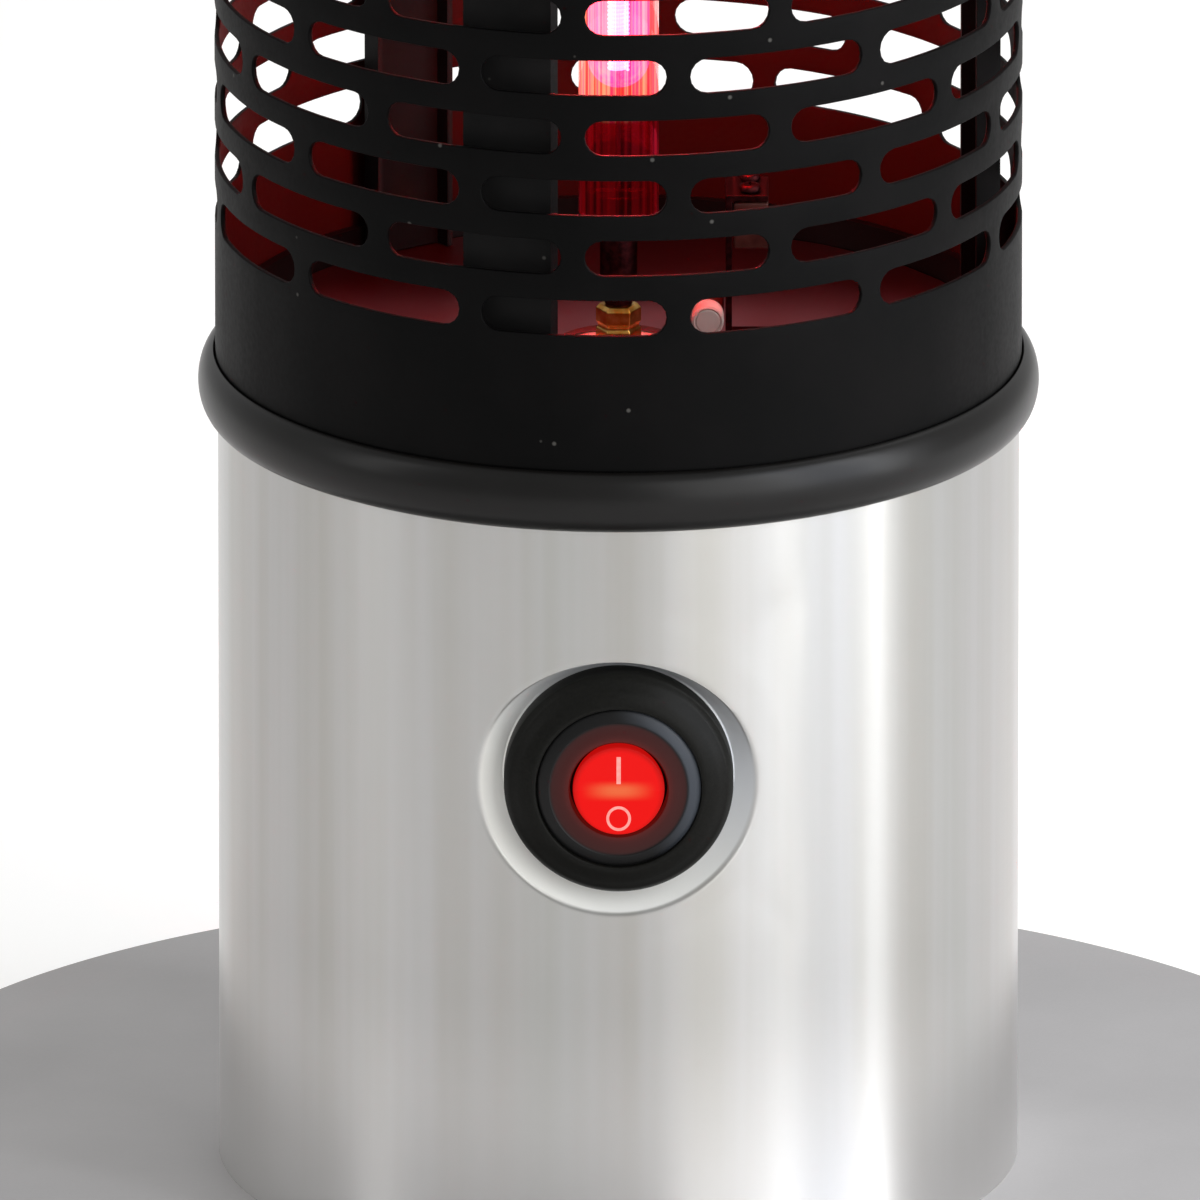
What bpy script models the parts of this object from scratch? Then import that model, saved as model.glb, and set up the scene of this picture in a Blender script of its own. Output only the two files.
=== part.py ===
# Infrared patio heater: round floor plate, steel column with a rocker switch, slotted guard round an upright lamp.
# Metres, +Z up, origin on the floor under the middle of the base. The switch faces -Y.
import math

import bmesh
import bpy
from mathutils import Matrix, Vector

mm = 0.001

# Fits
touch_gap = 0.3 * mm
slip_gap = 0.7 * mm

# Base plate, feet and the screws that go up through it
base_radius = 150 * mm
base_thickness = 8 * mm
base_edge_radius = 1.5 * mm
foot_radius = 12 * mm
foot_height = 4 * mm
foot_inset = 25 * mm
foot_stem_radius = 3 * mm
foot_stem_height = 5 * mm
base_screw_radius = 2.5 * mm
base_screw_head_radius = 4.8 * mm
base_screw_head_height = 2.6 * mm
base_screw_inset = 16 * mm
base_screw_tail = 2.5 * mm

# Column shell and the foot ring it stands round
column_radius = 75 * mm
column_wall = 1 * mm
column_height = 145.4 * mm
foot_ring_wall = 2 * mm
foot_ring_height = 20 * mm
foot_ring_flange = 28.7 * mm
side_screw_radius = 1.7 * mm
side_screw_head_radius = 3.4 * mm
side_screw_head_height = 1.8 * mm
side_screw_grip = 2.6 * mm
shell_screw_height = 10 * mm
shell_screw_angles = (110, 180, 250)

# Trim rings, measured from the face that meets the column or the cap
ring_height = 11.7 * mm
ring_overhang = 3.2 * mm
ring_round = 2.6 * mm
ring_seat_depth = 4 * mm
ring_spigot_wall = 1.8 * mm
ring_collar_height = 8 * mm
ring_inner_spigot = 6.3 * mm
ring_ledge_width = 6 * mm
ring_ledge_drop = 0.7 * mm

# Slotted guard
guard_radius = 75.5 * mm
guard_wall = 1 * mm
guard_rows = 22
slots_per_row = 12
slot_height = 6.8 * mm
slot_web = 4.4 * mm
row_pitch = 11.7 * mm
guard_solid_band = 30.1 * mm
first_slot_angle = 23.5

# Round plates that close the lamp chamber
plate_thickness = 1 * mm
plate_hole_radius = 12 * mm

# Channel posts between the two plates
post_width = 17 * mm
post_depth = 20 * mm
post_wall = 1.2 * mm
post_wall_clearance = 1 * mm
post_angles = (-17, 100, 215)

# Lamp and its holders, heights measured from the chamber plate
lamp_radius = 7.5 * mm
lamp_wall = 1.2 * mm
lamp_glass_start = 26 * mm
lamp_plug_length = 5 * mm
lamp_neck_radius = 3.6 * mm
lamp_collar_height = 1.2 * mm
lamp_base_radius = 4.3 * mm
lamp_base_rise = 8 * mm
lamp_base_drop = 8 * mm
filament_radius = 2 * mm
holder_radius = 17 * mm
holder_depth = 12 * mm
holder_pit_radius = 10.5 * mm
holder_pit_depth = 5 * mm
holder_screw_radius = 1.3 * mm
holder_screw_head_radius = 2.3 * mm
holder_screw_head_height = 1.4 * mm

# Bracket beside the lamp, with a ceramic terminal and a thermal fuse
bracket_offset = 20 * mm
bracket_reach = 8 * mm
bracket_width = 12 * mm
bracket_wall = 1.2 * mm
bracket_height = 31 * mm
terminal_height = 9 * mm
bracket_screw_spacing = 6.8 * mm
bracket_screw_radius = 1.1 * mm
bracket_screw_head_radius = 2.0 * mm
bracket_screw_head_height = 1.3 * mm
bracket_screw_length = 7 * mm
fuse_radius = 3 * mm
fuse_length = 16 * mm
fuse_height = 7.5 * mm
fuse_forward = 2 * mm

# Rocker switch, sizes along its axis measured from the pressed seat outwards
switch_height = 97 * mm
seat_depth = 4.5 * mm
seat_floor_radius = 24.5 * mm
seat_rim_radius = 26.5 * mm
bezel_radius = 21.4 * mm
bezel_side_height = 4.7 * mm
bezel_height = 9.5 * mm
bezel_lip_width = 1.8 * mm
bezel_mouth_radius = 15.4 * mm
bezel_floor_height = 6.2 * mm
boot_rim_height = 1.7 * mm
boot_height = 3.4 * mm
rocker_ball_radius = 9 * mm
rocker_pivot_height = 9 * mm
rocker_ridge_rise = 1.3 * mm
rocker_back_drop = 3.5 * mm
rocker_throw = 16
housing_radius = 9.9 * mm
housing_front_height = 2.9 * mm
housing_length = 33 * mm
switch_nut_radius = 14.5 * mm
switch_nut_height = 4 * mm
blade_width = 6.3 * mm
blade_thickness = 0.8 * mm
blade_length = 8 * mm
blade_pitch = 5.5 * mm

# Wiring plate on the foot ring
tray_length = 112 * mm
tray_width = 38 * mm
tray_thickness = 1.5 * mm
tray_setback = 8 * mm
block_length = 32 * mm
block_width = 20 * mm
block_height = 16 * mm
block_offset = 24 * mm
tilt_length = 24 * mm
tilt_width = 15 * mm
tilt_height = 19 * mm

# Cable gland at the back
gland_height = 42 * mm
gland_thread_radius = 8 * mm
gland_bore_radius = 4 * mm
gland_flange_radius = 12 * mm
gland_flange_height = 4 * mm
gland_dome_radius = 8.5 * mm
gland_dome_height = 12 * mm
gland_seal_thickness = 1.5 * mm
gland_nut_radius = 11.5 * mm
gland_nut_height = 5 * mm
gland_thread_tail = 2 * mm

# Top cap
cap_height = 32 * mm
cap_wall = 1 * mm
cap_edge_radius = 5 * mm
cap_screw_drop = 4.5 * mm
cap_screw_angles = (110, 180, 250)

# Fineness of the round pieces
base_round = 64
big_round = 44
switch_round = 32
middle_round = 16
small_round = 8
arc_steps = 2

# Levels and radii that follow from the sizes above
base_top = foot_height + base_thickness
foot_circle = base_radius - foot_inset
shell_bottom = base_top + touch_gap
shell_top = shell_bottom + column_height
shell_inner = column_radius - column_wall
foot_ring_radius = shell_inner - touch_gap
flange_top = shell_bottom + foot_ring_wall
ring_bottom = shell_top + touch_gap
ring_radius = max(column_radius, guard_radius) + ring_overhang
guard_inner = guard_radius - guard_wall
guard_seat = ring_height - ring_seat_depth
guard_bottom = ring_bottom + guard_seat + touch_gap
guard_height = 2 * guard_solid_band + (guard_rows - 1) * row_pitch + slot_height
guard_top = guard_bottom + guard_height
ring_top = guard_top + touch_gap + guard_seat
spigot_outer = guard_inner - slip_gap
spigot_inner = spigot_outer - ring_spigot_wall
plate_radius = spigot_inner - touch_gap
plate_seat = ring_height - ring_ledge_drop
chamber_floor = ring_bottom + plate_seat + touch_gap + plate_thickness
chamber_ceiling = ring_top - plate_seat - touch_gap - plate_thickness
switch_level = base_top + switch_height
seat_plane = column_radius - seat_depth
cap_bottom = ring_top + touch_gap


def clear_scene():
    for thing in list(bpy.data.objects):
        bpy.data.objects.remove(thing, do_unlink=True)


def make_material(name, colour, roughness, metallic=0.0, alpha=1.0, glow=0.0):
    material = bpy.data.materials.new(name)
    material.use_nodes = True
    shader = material.node_tree.nodes["Principled BSDF"]
    shader.inputs["Base Color"].default_value = (*colour, 1)
    shader.inputs["Roughness"].default_value = roughness
    shader.inputs["Metallic"].default_value = metallic
    shader.inputs["Alpha"].default_value = alpha
    if glow:
        shader.inputs["Emission Color"].default_value = (*colour, 1)
        shader.inputs["Emission Strength"].default_value = glow
    material.diffuse_color = (*colour, alpha)
    return material


def add_object(name, mesh_data, material=None, place=None):
    bmesh.ops.recalc_face_normals(mesh_data, faces=mesh_data.faces)
    mesh = bpy.data.meshes.new(name)
    mesh_data.to_mesh(mesh)
    mesh_data.free()
    mesh.shade_smooth()
    mesh.set_sharp_from_angle(angle=math.radians(35))
    thing = bpy.data.objects.new(name, mesh)
    bpy.context.scene.collection.objects.link(thing)
    if material:
        mesh.materials.append(material)
    if place:
        thing.matrix_world = place
    return thing


# Placements: upright things keep +Z, things on the column's side point their local +Z outwards
def upright(x=0.0, y=0.0, z=0.0):
    return Matrix.Translation((x, y, z))


def outward(angle, level):
    turn = Matrix.Rotation(math.radians(angle), 4, 'Z')
    lean = Matrix.Rotation(math.radians(90), 4, 'X')
    return Matrix.Translation((0, 0, level)) @ turn @ lean


def around(angle, radius):
    a = math.radians(angle)
    return radius * math.sin(a), -radius * math.cos(a)


# Turned solid from (radius, height) points; an open outline starts and ends on the axis
def spin_outline(outline, steps, closed):
    mesh_data = bmesh.new()
    points = [mesh_data.verts.new((radius, 0, height)) for radius, height in outline]
    pairs = list(zip(points, points[1:]))
    if closed:
        pairs.append((points[-1], points[0]))
    edges = [mesh_data.edges.new(pair) for pair in pairs]
    bmesh.ops.spin(mesh_data, geom=points + edges, cent=(0, 0, 0), axis=(0, 0, 1),
                   angle=math.tau, steps=steps, use_merge=True)
    bmesh.ops.remove_doubles(mesh_data, verts=mesh_data.verts, dist=1e-6)
    return mesh_data


def turned(name, outline, material=None, place=None, steps=small_round, closed=False):
    return add_object(name, spin_outline(outline, steps, closed), material, place)


def rod_outline(radius, low, high):
    return [(0, low), (radius, low), (radius, high), (0, high)]


def ring_outline(inner, outer, low, high):
    return [(inner, low), (outer, low), (outer, high), (inner, high)]


def arc_points(centre, radius, start, end, steps=arc_steps):
    points = []
    for step in range(steps + 1):
        angle = math.radians(start + (end - start) * step / steps)
        points.append((centre[0] + radius * math.cos(angle), centre[1] + radius * math.sin(angle)))
    return points


def block(name, low, high, material=None, place=None):
    mesh_data = bmesh.new()
    size = Vector(high) - Vector(low)
    middle = (Vector(high) + Vector(low)) / 2
    shape = Matrix.Translation(middle) @ Matrix.Diagonal((*size, 1))
    bmesh.ops.create_cube(mesh_data, size=1, matrix=shape)
    return add_object(name, mesh_data, material, place)


# Flat outline of (x, y) points drawn out along Z
def drawn_out(name, outline, low, high, material=None, place=None):
    mesh_data = bmesh.new()
    points = [mesh_data.verts.new((x, y, low)) for x, y in outline]
    face = mesh_data.faces.new(points)
    drawn = bmesh.ops.extrude_face_region(mesh_data, geom=[face])
    moved = [item for item in drawn["geom"] if isinstance(item, bmesh.types.BMVert)]
    bmesh.ops.translate(mesh_data, verts=moved, vec=(0, 0, high - low))
    return add_object(name, mesh_data, material, place)


# One cutter object holding a rod at each place
def rod_cutters(name, radius, low, high, places, steps=small_round):
    mesh_data = bmesh.new()
    for place in places:
        rod = spin_outline(rod_outline(radius, low, high), steps, False)
        bmesh.ops.transform(rod, matrix=place, verts=rod.verts)
        copy = bpy.data.meshes.new(name)
        rod.to_mesh(copy)
        rod.free()
        mesh_data.from_mesh(copy)
        bpy.data.meshes.remove(copy)
    return as_tool(add_object(name, mesh_data))


def as_tool(thing):
    thing.hide_render = True
    thing.display_type = 'WIRE'
    return thing


def combine(target, tool, operation='DIFFERENCE'):
    change = target.modifiers.new(operation.lower(), 'BOOLEAN')
    change.operation = operation
    change.solver = 'EXACT'
    change.object = tool


# Pan head screw: local +Z points out of the head, the head's underside is at zero
def screw(name, radius, length, head_radius, head_height, material, place):
    outline = [(0, -length), (radius, -length), (radius, 0), (head_radius, 0),
               (head_radius - head_height / 3, head_height), (0, head_height)]
    return turned(name, outline, material, place)


# Floor plate, feet and base screws
def base_screw_places():
    radius = foot_ring_radius - base_screw_inset
    return [around(45 + 90 * quarter, radius) for quarter in range(4)]


def foot_places():
    return [around(45 + 90 * quarter, foot_circle) for quarter in range(4)]


def make_base(steel_grey, rubber, zinc):
    corner = (base_radius - base_edge_radius, base_top - base_edge_radius)
    edge = arc_points(corner, base_edge_radius, 0, 90)
    outline = [(0, foot_height), (base_radius, foot_height), *edge, (0, base_top)]
    plate = turned("base_plate", outline, steel_grey, steps=base_round)
    hole = base_screw_radius + touch_gap
    recess = base_screw_head_radius + slip_gap
    recess_top = foot_height + base_screw_head_height + slip_gap
    spots = [upright(x, y) for x, y in base_screw_places()]
    combine(plate, rod_cutters("cut_base_holes", hole, 0, base_top + base_thickness, spots))
    combine(plate, rod_cutters("cut_base_recesses", recess, 0, recess_top, spots))
    foot_spots = [upright(x, y) for x, y in foot_places()]
    socket_top = foot_height + foot_stem_height + touch_gap
    socket = foot_stem_radius + touch_gap
    combine(plate, rod_cutters("cut_foot_sockets", socket, 0, socket_top, foot_spots))
    pad_top = foot_height - touch_gap
    stem_top = foot_height + foot_stem_height
    for number, (x, y) in enumerate(foot_places(), 1):
        pad = [(0, 0), (foot_radius - base_edge_radius, 0), (foot_radius, base_edge_radius), (foot_radius, pad_top),
               (foot_stem_radius, pad_top), (foot_stem_radius, stem_top), (0, stem_top)]
        turned(f"foot_{number}", pad, rubber, upright(x, y), steps=middle_round)
    seat = recess_top - touch_gap
    length = flange_top + base_screw_tail - seat
    for number, (x, y) in enumerate(base_screw_places(), 1):
        place = upright(x, y, seat) @ Matrix.Rotation(math.pi, 4, 'X')
        screw(f"base_screw_{number}", base_screw_radius, length, base_screw_head_radius, base_screw_head_height,
              zinc, place)


def make_foot_ring(plain_steel):
    inner = foot_ring_radius - foot_ring_flange
    wall = foot_ring_radius - foot_ring_wall
    top = shell_bottom + foot_ring_height
    outline = [(inner, shell_bottom), (foot_ring_radius, shell_bottom), (foot_ring_radius, top), (wall, top),
               (wall, flange_top), (inner, flange_top)]
    ring = turned("foot_ring", outline, plain_steel, steps=big_round, closed=True)
    spots = [upright(x, y) for x, y in base_screw_places()]
    hole = base_screw_radius + touch_gap
    combine(ring, rod_cutters("cut_flange_holes", hole, 0, flange_top + foot_ring_height, spots))
    return ring


# Screws through the side of the column or the cap into the ring behind it
def side_screws(name, level, angles, walls, radius, head_radius, head_height, outer, grip, material):
    places = [outward(angle, level) for angle in angles]
    tool = rod_cutters(f"cut_{name}", radius + touch_gap, outer - 4 * grip, outer + 4 * grip, places)
    for wall in walls:
        combine(wall, tool)
    for number, place in enumerate(places, 1):
        seat = place @ Matrix.Translation((0, 0, outer + touch_gap))
        screw(f"{name}_{number}", radius, grip + touch_gap, head_radius, head_height, material, seat)


# Column shell with a flat round seat pressed in for the switch
def make_column(brushed_steel, foot_ring, zinc):
    outline = ring_outline(shell_inner, column_radius, shell_bottom, shell_top)
    shell = turned("body_shell", outline, brushed_steel, steps=big_round, closed=True)
    at_switch = outward(0, switch_level)
    spread = (seat_rim_radius - seat_floor_radius) / seat_depth
    past = column_radius + seat_depth
    far_radius = seat_floor_radius + spread * (past - seat_plane)
    back = seat_plane - column_wall
    near_radius = seat_floor_radius + column_wall
    dish = [(0, back), (near_radius, back), (far_radius + column_wall, past), (0, past)]
    pressed = as_tool(turned("tool_seat_solid", dish, None, at_switch, steps=switch_round))
    solid = rod_outline(column_radius, 0, shell_top + base_top)
    outside = turned("tool_column_solid", solid, None, steps=big_round)
    combine(pressed, as_tool(outside), 'INTERSECT')
    combine(shell, pressed, 'UNION')
    hollow = [(0, seat_plane), (seat_floor_radius, seat_plane), (far_radius, past), (0, past)]
    combine(shell, as_tool(turned("cut_seat", hollow, None, at_switch, steps=switch_round)))
    hole = housing_radius + touch_gap
    inside = seat_plane - seat_depth
    combine(shell, rod_cutters("cut_switch_hole", hole, inside, past, [at_switch], middle_round))
    at_gland = outward(180, base_top + gland_height)
    hole = gland_thread_radius + touch_gap
    inside = shell_inner - seat_depth
    combine(shell, rod_cutters("cut_gland_hole", hole, inside, past, [at_gland], middle_round))
    level = base_top + shell_screw_height
    side_screws("shell_screw", level, shell_screw_angles, (shell, foot_ring), side_screw_radius,
                side_screw_head_radius, side_screw_head_height, column_radius, side_screw_grip, zinc)
    return shell


# Trim ring: height 0 is its face against the column or cap, +height goes towards the guard
def trim_ring(name, level, black):
    corner = (ring_radius - ring_round, ring_round)
    upper = (ring_radius - ring_round, ring_height - ring_round)
    lip = guard_radius + touch_gap
    collar_inner = foot_ring_radius - ring_spigot_wall
    ledge_inner = spigot_inner - ring_ledge_width
    top = ring_height + ring_inner_spigot
    outline = [(collar_inner, -ring_collar_height), (foot_ring_radius, -ring_collar_height),
               (foot_ring_radius, 0)]
    outline += arc_points(corner, ring_round, -90, 0)
    outline += arc_points(upper, ring_round, 0, 90)
    outline += [(lip, ring_height), (lip, guard_seat), (spigot_outer, guard_seat), (spigot_outer, top),
                (spigot_inner, top), (spigot_inner, plate_seat), (ledge_inner, plate_seat), (collar_inner, 0)]
    placed = [(radius, level(height)) for radius, height in outline]
    return turned(name, placed, black, steps=big_round, closed=True)


def chamber_plate(name, face, behind, material):
    outline = ring_outline(plate_hole_radius, plate_radius, min(face, behind), max(face, behind))
    return turned(name, outline, material, steps=big_round, closed=True)


# Guard tube with its slots, laid out on the unrolled tube and joined wall by wall
def slot_outline(length):
    tip = length / 2
    corner = tip - slot_height / 2
    side = slot_height / 2
    return [(-tip, 0), (-corner, -side), (0, -side), (corner, -side),
            (tip, 0), (corner, side), (0, side), (-corner, side)]


def guard_point(mesh_data, angle, level):
    outer = mesh_data.verts.new((*around(angle, guard_radius), level))
    inner = mesh_data.verts.new((*around(angle, guard_inner), level))
    return angle, outer, inner


def stitch(mesh_data, lower, upper):
    count = len(lower)
    start = min(range(count), key=lambda n: abs((upper[n][0] - lower[0][0] + 180) % 360 - 180))
    upper = upper[start:] + upper[:start]
    first_low = lower[0][0]
    first_up = first_low + (upper[0][0] - first_low + 180) % 360 - 180
    turn_low = [first_low + (point[0] - first_low) % 360 for point in lower] + [first_low + 360]
    turn_up = [first_up + (point[0] - upper[0][0]) % 360 for point in upper] + [first_up + 360]
    low = up = 0
    while low < count or up < count:
        here, there = lower[low % count], upper[up % count]
        if up == count or (low < count and turn_low[low + 1] <= turn_up[up + 1]):
            low += 1
            after = lower[low % count]
        else:
            up += 1
            after = upper[up % count]
        mesh_data.faces.new((here[1], after[1], there[1]))
        mesh_data.faces.new((here[2], there[2], after[2]))


def make_guard(black):
    mesh_data = bmesh.new()
    pitch = 360 / slots_per_row
    length = math.radians(pitch) * guard_radius - slot_web
    outline = slot_outline(length)
    rim = None
    for row in range(guard_rows):
        middle = guard_bottom + guard_solid_band + slot_height / 2 + row * row_pitch
        shift = first_slot_angle + (pitch / 2 if row % 2 else 0)
        slots = []
        for slot in range(slots_per_row):
            angle = shift + slot * pitch
            slots.append([guard_point(mesh_data, angle + math.degrees(along / guard_radius), middle + up)
                          for along, up in outline])
        for slot in slots:
            for one, two in zip(slot, slot[1:] + slot[:1]):
                mesh_data.faces.new((one[1], two[1], two[2], one[2]))
        for slot, after in zip(slots, slots[1:] + slots[:1]):
            for wall in (1, 2):
                mesh_data.faces.new((slot[3][wall], after[1][wall], after[0][wall], slot[4][wall]))
                mesh_data.faces.new((slot[4][wall], after[0][wall], after[7][wall], slot[5][wall]))
        under = [point for slot in slots for point in slot[1:4]]
        over = [point for slot in slots for point in (slot[7], slot[6], slot[5])]
        if row == 0:
            rim = [guard_point(mesh_data, point[0], guard_bottom) for point in under]
            close_rim(mesh_data, rim)
        stitch(mesh_data, rim, under)
        rim = over
    last = [guard_point(mesh_data, point[0], guard_top) for point in rim]
    stitch(mesh_data, rim, last)
    close_rim(mesh_data, last)
    return add_object("guard", mesh_data, black)


def close_rim(mesh_data, rim):
    for one, two in zip(rim, rim[1:] + rim[:1]):
        mesh_data.faces.new((one[1], two[1], two[2], one[2]))


# Channel posts, open side towards the lamp
def make_posts(black):
    half = post_width / 2
    front = spigot_inner - post_wall_clearance
    inner_half = half - post_wall
    back = front - post_depth
    web = front - post_wall
    outline = [(-half, -front), (half, -front), (half, -back), (inner_half, -back), (inner_half, -web),
               (-inner_half, -web), (-inner_half, -back), (-half, -back)]
    low = chamber_floor + touch_gap
    high = chamber_ceiling - touch_gap
    for number, angle in enumerate(post_angles, 1):
        place = Matrix.Rotation(math.radians(angle), 4, 'Z')
        drawn_out(f"post_{number}", outline, low, high, black, place)


# One end of the lamp: level(h) turns a height from the chamber plate's face into Z
def lamp_end(side, level, plate, ceramic, nickel, zinc):
    plug = lamp_radius - lamp_wall - touch_gap
    shoulder = lamp_glass_start - touch_gap
    outline = [(0, -lamp_base_drop), (lamp_base_radius, -lamp_base_drop), (lamp_base_radius, lamp_base_rise),
               (lamp_neck_radius, lamp_base_rise), (lamp_neck_radius, shoulder - lamp_collar_height),
               (lamp_radius, shoulder - lamp_collar_height), (lamp_radius, shoulder), (plug, shoulder),
               (plug, shoulder + lamp_plug_length), (0, shoulder + lamp_plug_length)]
    placed = [(radius, level(height)) for radius, height in outline]
    turned(f"lamp_end_{side}", placed, nickel, steps=middle_round)
    top = -plate_thickness - touch_gap
    bottom = top - holder_depth
    bore = lamp_base_radius + touch_gap
    pit_floor = top - holder_pit_depth
    cup = [(bore, bottom), (holder_radius, bottom), (holder_radius, top), (holder_pit_radius, top),
           (holder_pit_radius, pit_floor), (bore, pit_floor)]
    placed = [(radius, level(height)) for radius, height in cup]
    holder = turned(f"lamp_holder_{side}", placed, ceramic, steps=middle_round, closed=True)
    reach = (plate_hole_radius + holder_radius) / 2
    flip = Matrix.Identity(4) if level(1) < level(0) else Matrix.Rotation(math.pi, 4, 'X')
    spots = []
    for number, x in enumerate((-reach, reach), 1):
        seat = upright(x, 0, level(bottom - touch_gap)) @ flip
        spots.append(upright(x, 0, level(bottom)))
        length = holder_depth + plate_thickness + 3 * touch_gap
        screw(f"holder_screw_{side}_{number}", holder_screw_radius, length, holder_screw_head_radius,
              holder_screw_head_height, zinc, seat)
    reach_through = 2 * (holder_depth + plate_thickness)
    holes = rod_cutters(f"cut_holder_{side}", holder_screw_radius + touch_gap, -reach_through, reach_through, spots)
    combine(holder, holes)
    combine(plate, holes)


def make_lamp(quartz, glow):
    low = chamber_floor + lamp_glass_start
    high = chamber_ceiling - lamp_glass_start
    glass = ring_outline(lamp_radius - lamp_wall, lamp_radius, low, high)
    turned("lamp_tube", glass, quartz, steps=middle_round, closed=True)
    reach = lamp_plug_length
    turned("lamp_filament", rod_outline(filament_radius, low + reach, high - reach), glow)


# Bracket beside the lamp with its terminal, screws and thermal fuse
def make_bracket(plain_steel, ceramic, zinc):
    low = chamber_floor + touch_gap
    high = chamber_floor + bracket_height
    near = bracket_offset
    far = near + bracket_reach
    half = bracket_width / 2
    outline = [(near, low), (far, low), (far, low + bracket_wall), (near + bracket_wall, low + bracket_wall),
               (near + bracket_wall, high - bracket_wall), (far, high - bracket_wall), (far, high), (near, high)]
    lean = Matrix.Rotation(math.radians(90), 4, 'X')
    bracket = drawn_out("fuse_bracket", outline, -half, half, plain_steel, lean)
    block_top = high - bracket_wall - touch_gap
    terminal = block("lamp_terminal", (near + bracket_wall + touch_gap, -half, block_top - terminal_height),
                     (far, half, block_top), ceramic)
    middle = (near + bracket_wall + far) / 2
    spots = [upright(middle, y, high) for y in (-bracket_screw_spacing / 2, bracket_screw_spacing / 2)]
    deep = bracket_screw_length + touch_gap
    holes = rod_cutters("cut_bracket_holes", bracket_screw_radius + touch_gap, -deep, deep, spots)
    combine(bracket, holes)
    combine(terminal, holes)
    for number, spot in enumerate(spots, 1):
        screw(f"bracket_screw_{number}", bracket_screw_radius, bracket_screw_length, bracket_screw_head_radius,
              bracket_screw_head_height, zinc, spot @ upright(0, 0, touch_gap))
    fuse_place = upright(near - touch_gap - fuse_radius, -fuse_forward, chamber_floor + fuse_height) @ lean
    fuse = rod_outline(fuse_radius, -fuse_length / 2, fuse_length / 2)
    turned("thermal_fuse", fuse, ceramic, fuse_place, steps=middle_round)


# Rocker switch: everything is turned about the switch's axis, which points out of the column
def make_switch(black_plastic, clear_rubber, red_lens, tin):
    place = outward(0, switch_level)
    foot = seat_plane + touch_gap
    bore = housing_radius + touch_gap
    floor_level = seat_plane + bezel_floor_height
    top = seat_plane + bezel_height
    shoulder = seat_plane + bezel_side_height
    crown = bezel_mouth_radius + bezel_lip_width
    sweep_height = top - shoulder
    sweep = [(crown + (bezel_radius - crown) * math.cos(math.radians(step * 30)),
              shoulder + sweep_height * math.sin(math.radians(step * 30))) for step in range(4)]
    outline = [(bore, foot), (bezel_radius, foot), *sweep, (bezel_mouth_radius, top),
               (bezel_mouth_radius, floor_level), (bore, floor_level)]
    turned("switch_bezel", outline, black_plastic, place, steps=switch_round, closed=True)
    under = floor_level + touch_gap
    hole = rocker_ball_radius + touch_gap
    rim = bezel_mouth_radius - touch_gap
    cone = [(hole, under), (rim, under), (rim, under + boot_rim_height),
            (hole + boot_rim_height, under + boot_height), (hole, under + boot_height - touch_gap)]
    turned("switch_boot", cone, clear_rubber, place, steps=switch_round, closed=True)
    housing_front = seat_plane + housing_front_height
    housing_back = housing_front - housing_length
    barrel = rod_outline(housing_radius, housing_back, housing_front)
    turned("switch_housing", barrel, black_plastic, place, steps=middle_round)
    nut_front = seat_plane - column_wall - touch_gap
    nut = ring_outline(bore, switch_nut_radius, nut_front - switch_nut_height, nut_front)
    turned("switch_nut", nut, black_plastic, place, steps=middle_round, closed=True)
    blade_back = housing_back - touch_gap - blade_length
    for number in range(3):
        low = (number - 1) * blade_pitch - blade_thickness / 2
        block(f"switch_blade_{number + 1}", (-blade_width / 2, low, blade_back),
              (blade_width / 2, low + blade_thickness, housing_back - touch_gap), tin, place)
    make_rocker(red_lens)


def make_rocker(red_lens):
    pivot = seat_plane + rocker_pivot_height
    centre = Vector((0, -pivot, switch_level))
    back = -rocker_back_drop
    start = math.degrees(math.asin(back / rocker_ball_radius))
    ball = [(0, back), *arc_points((0, 0), rocker_ball_radius, start, 90, 6)]
    ball[-1] = (0, rocker_ball_radius)
    place = Matrix.Translation(centre) @ Matrix.Rotation(math.radians(90), 4, 'X')
    rocker = turned("switch_rocker", ball, red_lens, place, steps=switch_round)
    far = 2 * rocker_ball_radius
    ridge = rocker_ridge_rise
    tip = ridge + far * math.tan(math.radians(rocker_throw))
    wedge = [(far, ridge), (far, far), (-far, far), (-far, tip), (0, ridge)]
    across = Matrix.Translation(centre) @ Matrix(((0, 0, 1, 0), (0, -1, 0, 0), (1, 0, 0, 0), (0, 0, 0, 1)))
    combine(rocker, as_tool(drawn_out("cut_rocker_face", wedge, -far, far, None, across)))


# Wiring plate across the foot ring's flange
def make_wiring(plain_steel, ceramic, black_plastic):
    low = flange_top + touch_gap
    high = low + tray_thickness
    block("wiring_plate", (-tray_length / 2, tray_setback - tray_width / 2, low),
          (tray_length / 2, tray_setback + tray_width / 2, high), plain_steel)
    seat = high + touch_gap
    block("terminal_block", (-block_offset - block_length / 2, tray_setback - block_width / 2, seat),
          (-block_offset + block_length / 2, tray_setback + block_width / 2, seat + block_height), ceramic)
    block("tilt_switch", (block_offset - tilt_length / 2, tray_setback - tilt_width / 2, seat),
          (block_offset + tilt_length / 2, tray_setback + tilt_width / 2, seat + tilt_height), black_plastic)


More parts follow.
